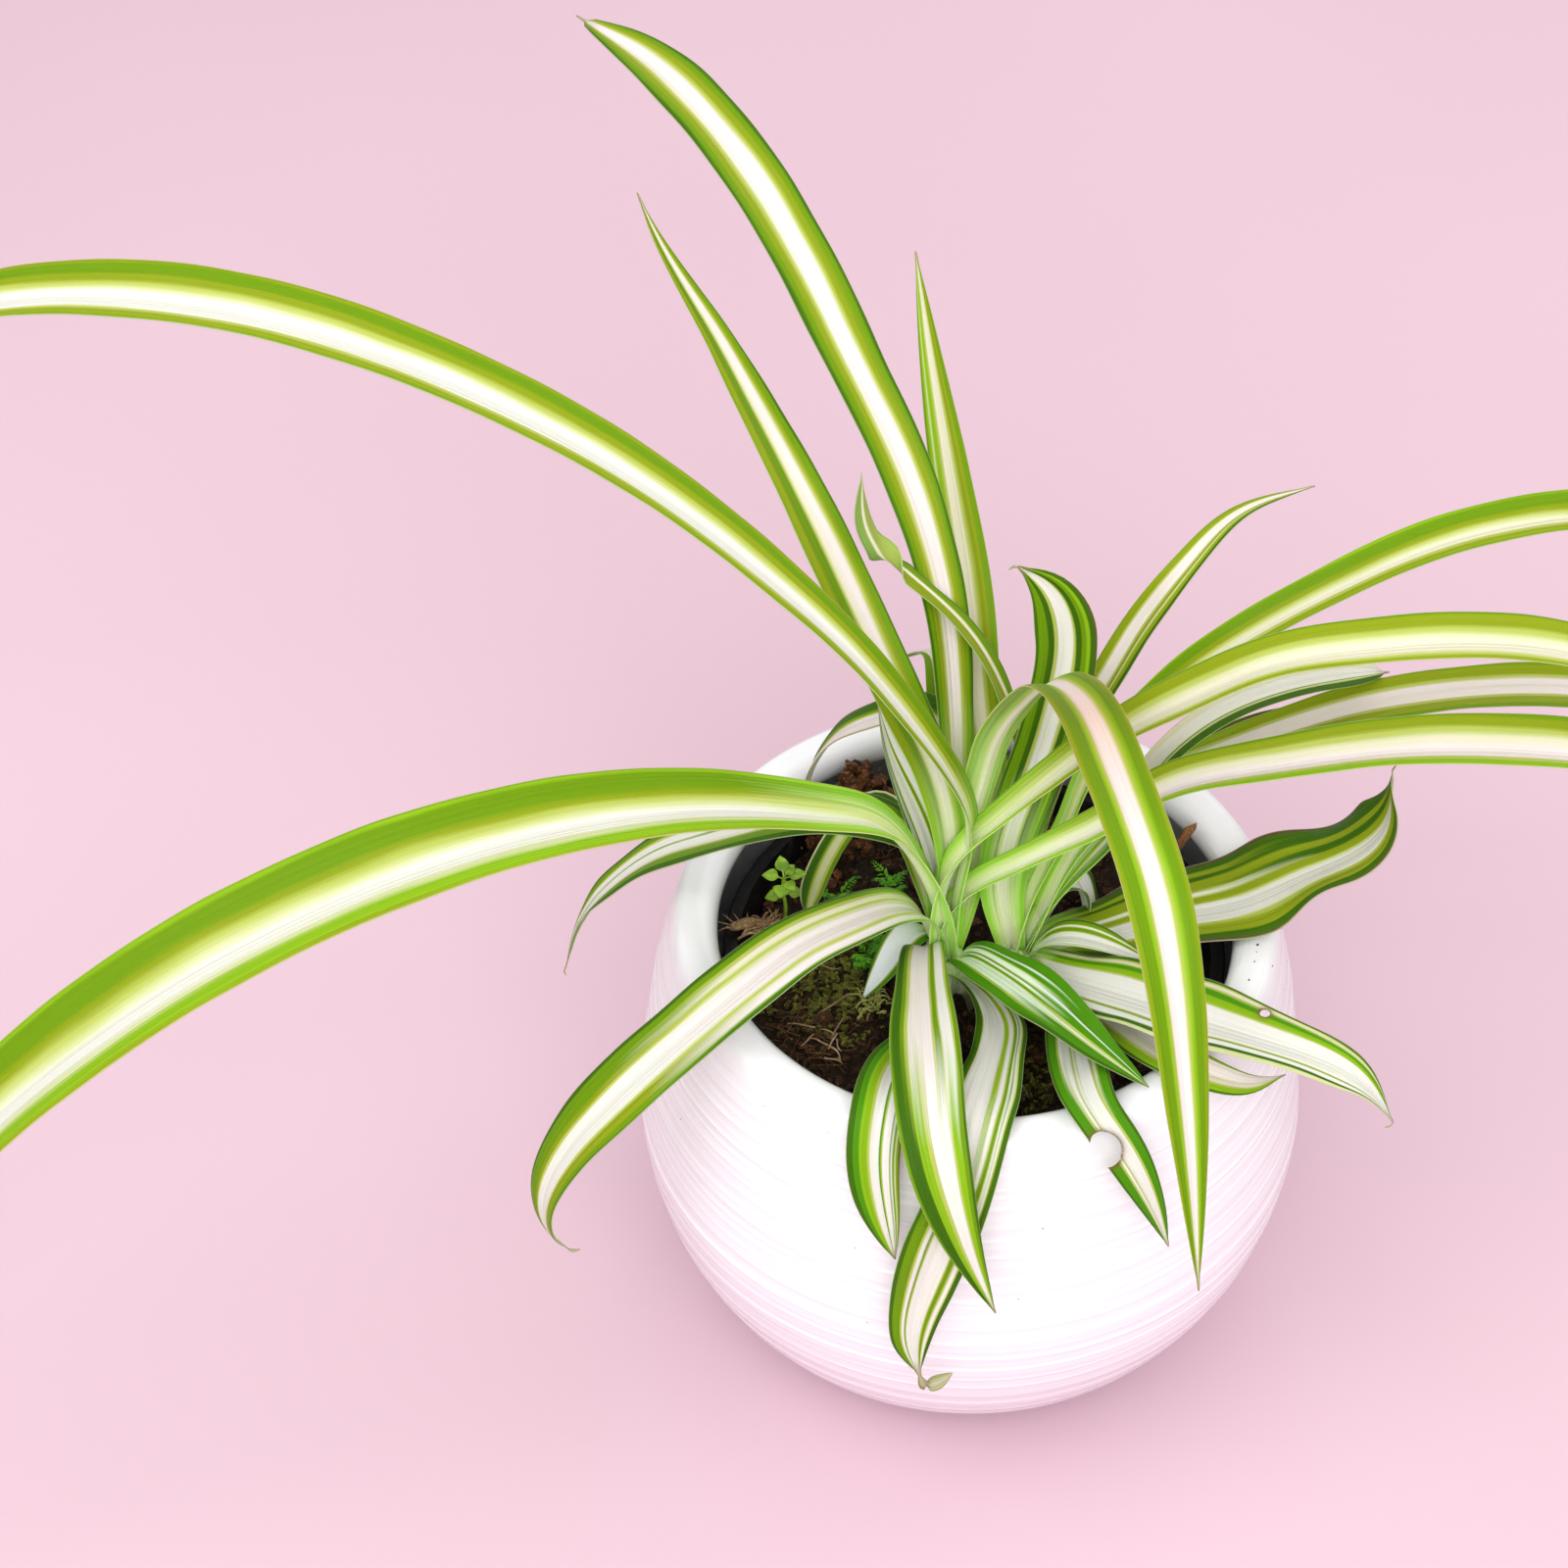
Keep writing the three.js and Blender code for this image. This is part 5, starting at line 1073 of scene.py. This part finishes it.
def rough_stick(name, course, thick, wide, seed, curl=0.0):
    """A dry stick: an oval section carried along its course, its surface pushed in and out by ridges
    that run along it, its ends drawn in."""
    rng = np.random.default_rng(seed)
    curve, _ = even_steps(spline(course), STICK_ROWS)
    along = unit(np.gradient(curve, axis=0))
    side = unit(np.cross(along, [0.2, 0.1, 1.0]))
    over = np.cross(side, along)
    T, A = linspace(0, 1, STICK_ROWS)[:, None], circle(STICK_SIDES)
    ridge = 1 + 0.16 * sin(5 * A + 3 * T + rng.uniform(0, TAU)) + 0.09 * sin(11 * A - 7 * T)
    ridge = ridge + 0.1 * sin(T * 19 + rng.uniform(0, TAU))
    draw = sqrt(clip(minimum(T, 1 - T) * 9, 0.03, 1))
    x = wide * cos(A) * ridge * draw
    y = thick * sin(A) * ridge * draw + curl * cos(A) ** 2 * draw
    points = curve[:, None] + side[:, None] * x[..., None] + over[:, None] * y[..., None]
    ends = [curve[0] - along[0] * 0.2, curve[-1] + along[-1] * 0.2]
    return make_mesh(name, vstack([points.reshape(-1, 3), ends]), *tube_faces(STICK_ROWS, STICK_SIDES))


tan_wood = earth_finish("dry_wood", "160 85 35, 480 310 150, 640 480 280", 1.6)
bark = earth_finish("dry_bark", "70 24 8, 360 150 50, 500 260 100", 1.6)
wood = earth_finish("curled_wood", "140 50 16, 460 200 70, 620 340 140", 1.6)
settle(rough_stick("frayed_twig", [(-50.4, 1, 102.8), (-48, 3, 102.1), (-44, 6, 99.4), (-39, 9, 94.6)],
                   0.9, 1.1, 51), tan_wood, "dry_twig", "twig_left")
places = table("""
-49.6 1.6 102.9, -49.8 2 102.8, -49.4 2.4 102.9, -48.8 2.2 103, -48.5 3.2 102.6, -48 3.6 102.4,
-47 4.2 101.9""")
fray = strands("twig_fray", places, radians([200, 165, 140, 215, 120, 190, 100]),
               [3.2, 3.8, 3.0, 2.6, 2.4, 2.2, 2.0], [0.22, 0.18, 0.2, 0.16, 0.16, 0.14, 0.14], 52,
               bend=0.8, climb=0.15)
settle(fray, tan_wood, "dry_twig")
# Rough root fibres that lie along the twig, from the pot's edge up to the weed.
share = linspace(0, 1, 30)
places = xyz(-51 + 9.5 * share, -1.2 + 9.2 * share, 100.6 - 2.2 * share)
places = within(places + np.random.default_rng(56).normal(0, 0.55, (30, 3)), 49.5)
count = len(places)
rough = strands("twig_fibres", places, radians(45 + linspace(-30, 30, count)),
                linspace(4.6, 3.0, count), linspace(0.34, 0.2, count), 57,
                bend=1.1, climb=0.25, sides=6, steps=9)
settle(rough, tan_wood, "dry_twig")
settle(rough_stick("back_stub", [(-18.5, 38, 96.5), (-18.4, 37.7, 101.5), (-18.2, 37.5, 105),
                                 (-19.2, 37.8, 108.5)], 0.7, 0.9, 53), bark, "bark", "twig_back")
settle(rough_stick("curled_bark", [(38.4, 25, 97), (40.4, 25.4, 103), (42.5, 25.5, 108),
                                   (45, 25, 114.5)], 0.6, 1.5, 54, curl=0.5),
       wood, "bark", "bark_curl_right")

# Specks of soil on the pot: bearing in degrees, height and half size of each.
SPECKS = table("""
-6.4 112.4 .32, -8.3 112.4 .22, -11 112.5 .3, -10.5 111.6 .22, -13.3 112.5 .18, -16.1 112.4 .3,
-.7 101.7 .34, -4.8 103 .26, -8.3 102.4 .3, 4 106 .24, -76.3 91 .24, -73.7 112.3 .2, -108.2 82.1 .18,
-105.4 61.8 .16, -80.3 72.5 .2, -85.4 47.7 .2, -159.1 112.4 .22, -149.9 82.9 .18, -129.4 106.2 .16,
-115.5 108.1 .16, 60 111.8 .2, 95 108 .2, 150 110.5 .22, 30 99 .18""")
LIP_RADIUS, LIP_Z, SPECK_SINK = 57.6, 112.42, 0.05
bearing, height, sizes = SPECKS.T
on_lip = height > 112.2
reach = where(on_lip, LIP_RADIUS, outer_radius(height) - SPECK_SINK)
x, y = turned(reach, 0, radians(bearing))
places = xyz(x, y, where(on_lip, LIP_Z, height))
settle(scatter("soil_specks", places, sizes, 0.7, 61),
       earth_finish("speck_soil", "10 6 4, 50 30 18, 100 60 30", 2.0), "soil")


# ---- Floor, light and camera ----

def floor_finish():
    """Plain pale board, barely clouded."""
    board = Finish("pale_board", Specular_IOR_Level=0.2)
    cloud = board.noise(board.place((3, 3, 3)))
    return board.done(board.ramp(cloud, (0.3, (0.62, 0.44, 0.51)), (0.7, (0.65, 0.47, 0.54))),
                      board.span(cloud, 0.3, 0.7, 0.75, 0.85))


FLOOR_HALF, FLOOR_DROP, FLOOR_POINTS = 2600, 0.05, 9
X, Y = np.meshgrid(*[linspace(-1, 1, FLOOR_POINTS) * FLOOR_HALF] * 2, indexing="ij")
floor = make_mesh("plain_floor", xyz(X, Y, -FLOOR_DROP), grid_quads(*X.shape))
floor.data.materials.append(floor_finish())

# Square soft lights that aim at the crown: place, size, power and colour.
LIGHTS = {"window": ((-0.6, -0.5, 1.35), 0.9, 7.0, (1.0, 0.985, 0.97)),
          "front": ((0.12, -1.0, 1.05), 0.9, 12.0, (1.0, 0.985, 0.98)),
          "fill": ((0.7, 0.7, 1.2), 1.4, 5.0, (1.0, 0.97, 0.98))}
for name, (at, size, watts, colour) in LIGHTS.items():
    lamp = bpy.data.lights.new(name, "AREA")
    lamp.shape, lamp.size, lamp.energy, lamp.color = "SQUARE", size, watts, colour
    holder = bpy.data.objects.new(name, lamp)
    bpy.context.scene.collection.objects.link(holder)
    holder.location = at
    holder.rotation_euler = (Vector((0, 0, 0.1)) - Vector(at)).to_track_quat("-Z", "Y").to_euler()

scene = bpy.context.scene
scene.world = bpy.data.worlds.new("studio")
scene.world.use_nodes = True
sky = scene.world.node_tree.nodes["Background"].inputs
sky["Color"].default_value, sky["Strength"].default_value = (1.0, 0.985, 0.99, 1), 0.86
scene.view_settings.view_transform = "Standard"
scene.view_settings.look = "None"

CAMERA_AT = array([0.0, -541.0, 703.0])
CAMERA_AIM = array([-42.0, 46.0, 100.0])
CAMERA_ROLL = radians(-0.75)
ahead = unit(CAMERA_AIM - CAMERA_AT)
right = unit(np.cross(ahead, [0, 0, 1.0]))
right, above = turned(right, np.cross(right, ahead), -CAMERA_ROLL)
lens = bpy.data.cameras.new("photo_view")
lens.lens, lens.sensor_width, lens.clip_start = 90, 36, 0.05
camera = bpy.data.objects.new("photo_view", lens)
scene.collection.objects.link(camera)
stand = Matrix((right, above, -ahead)).transposed().to_4x4()
stand.translation = CAMERA_AT * MM
camera.matrix_world = stand
scene.camera = camera

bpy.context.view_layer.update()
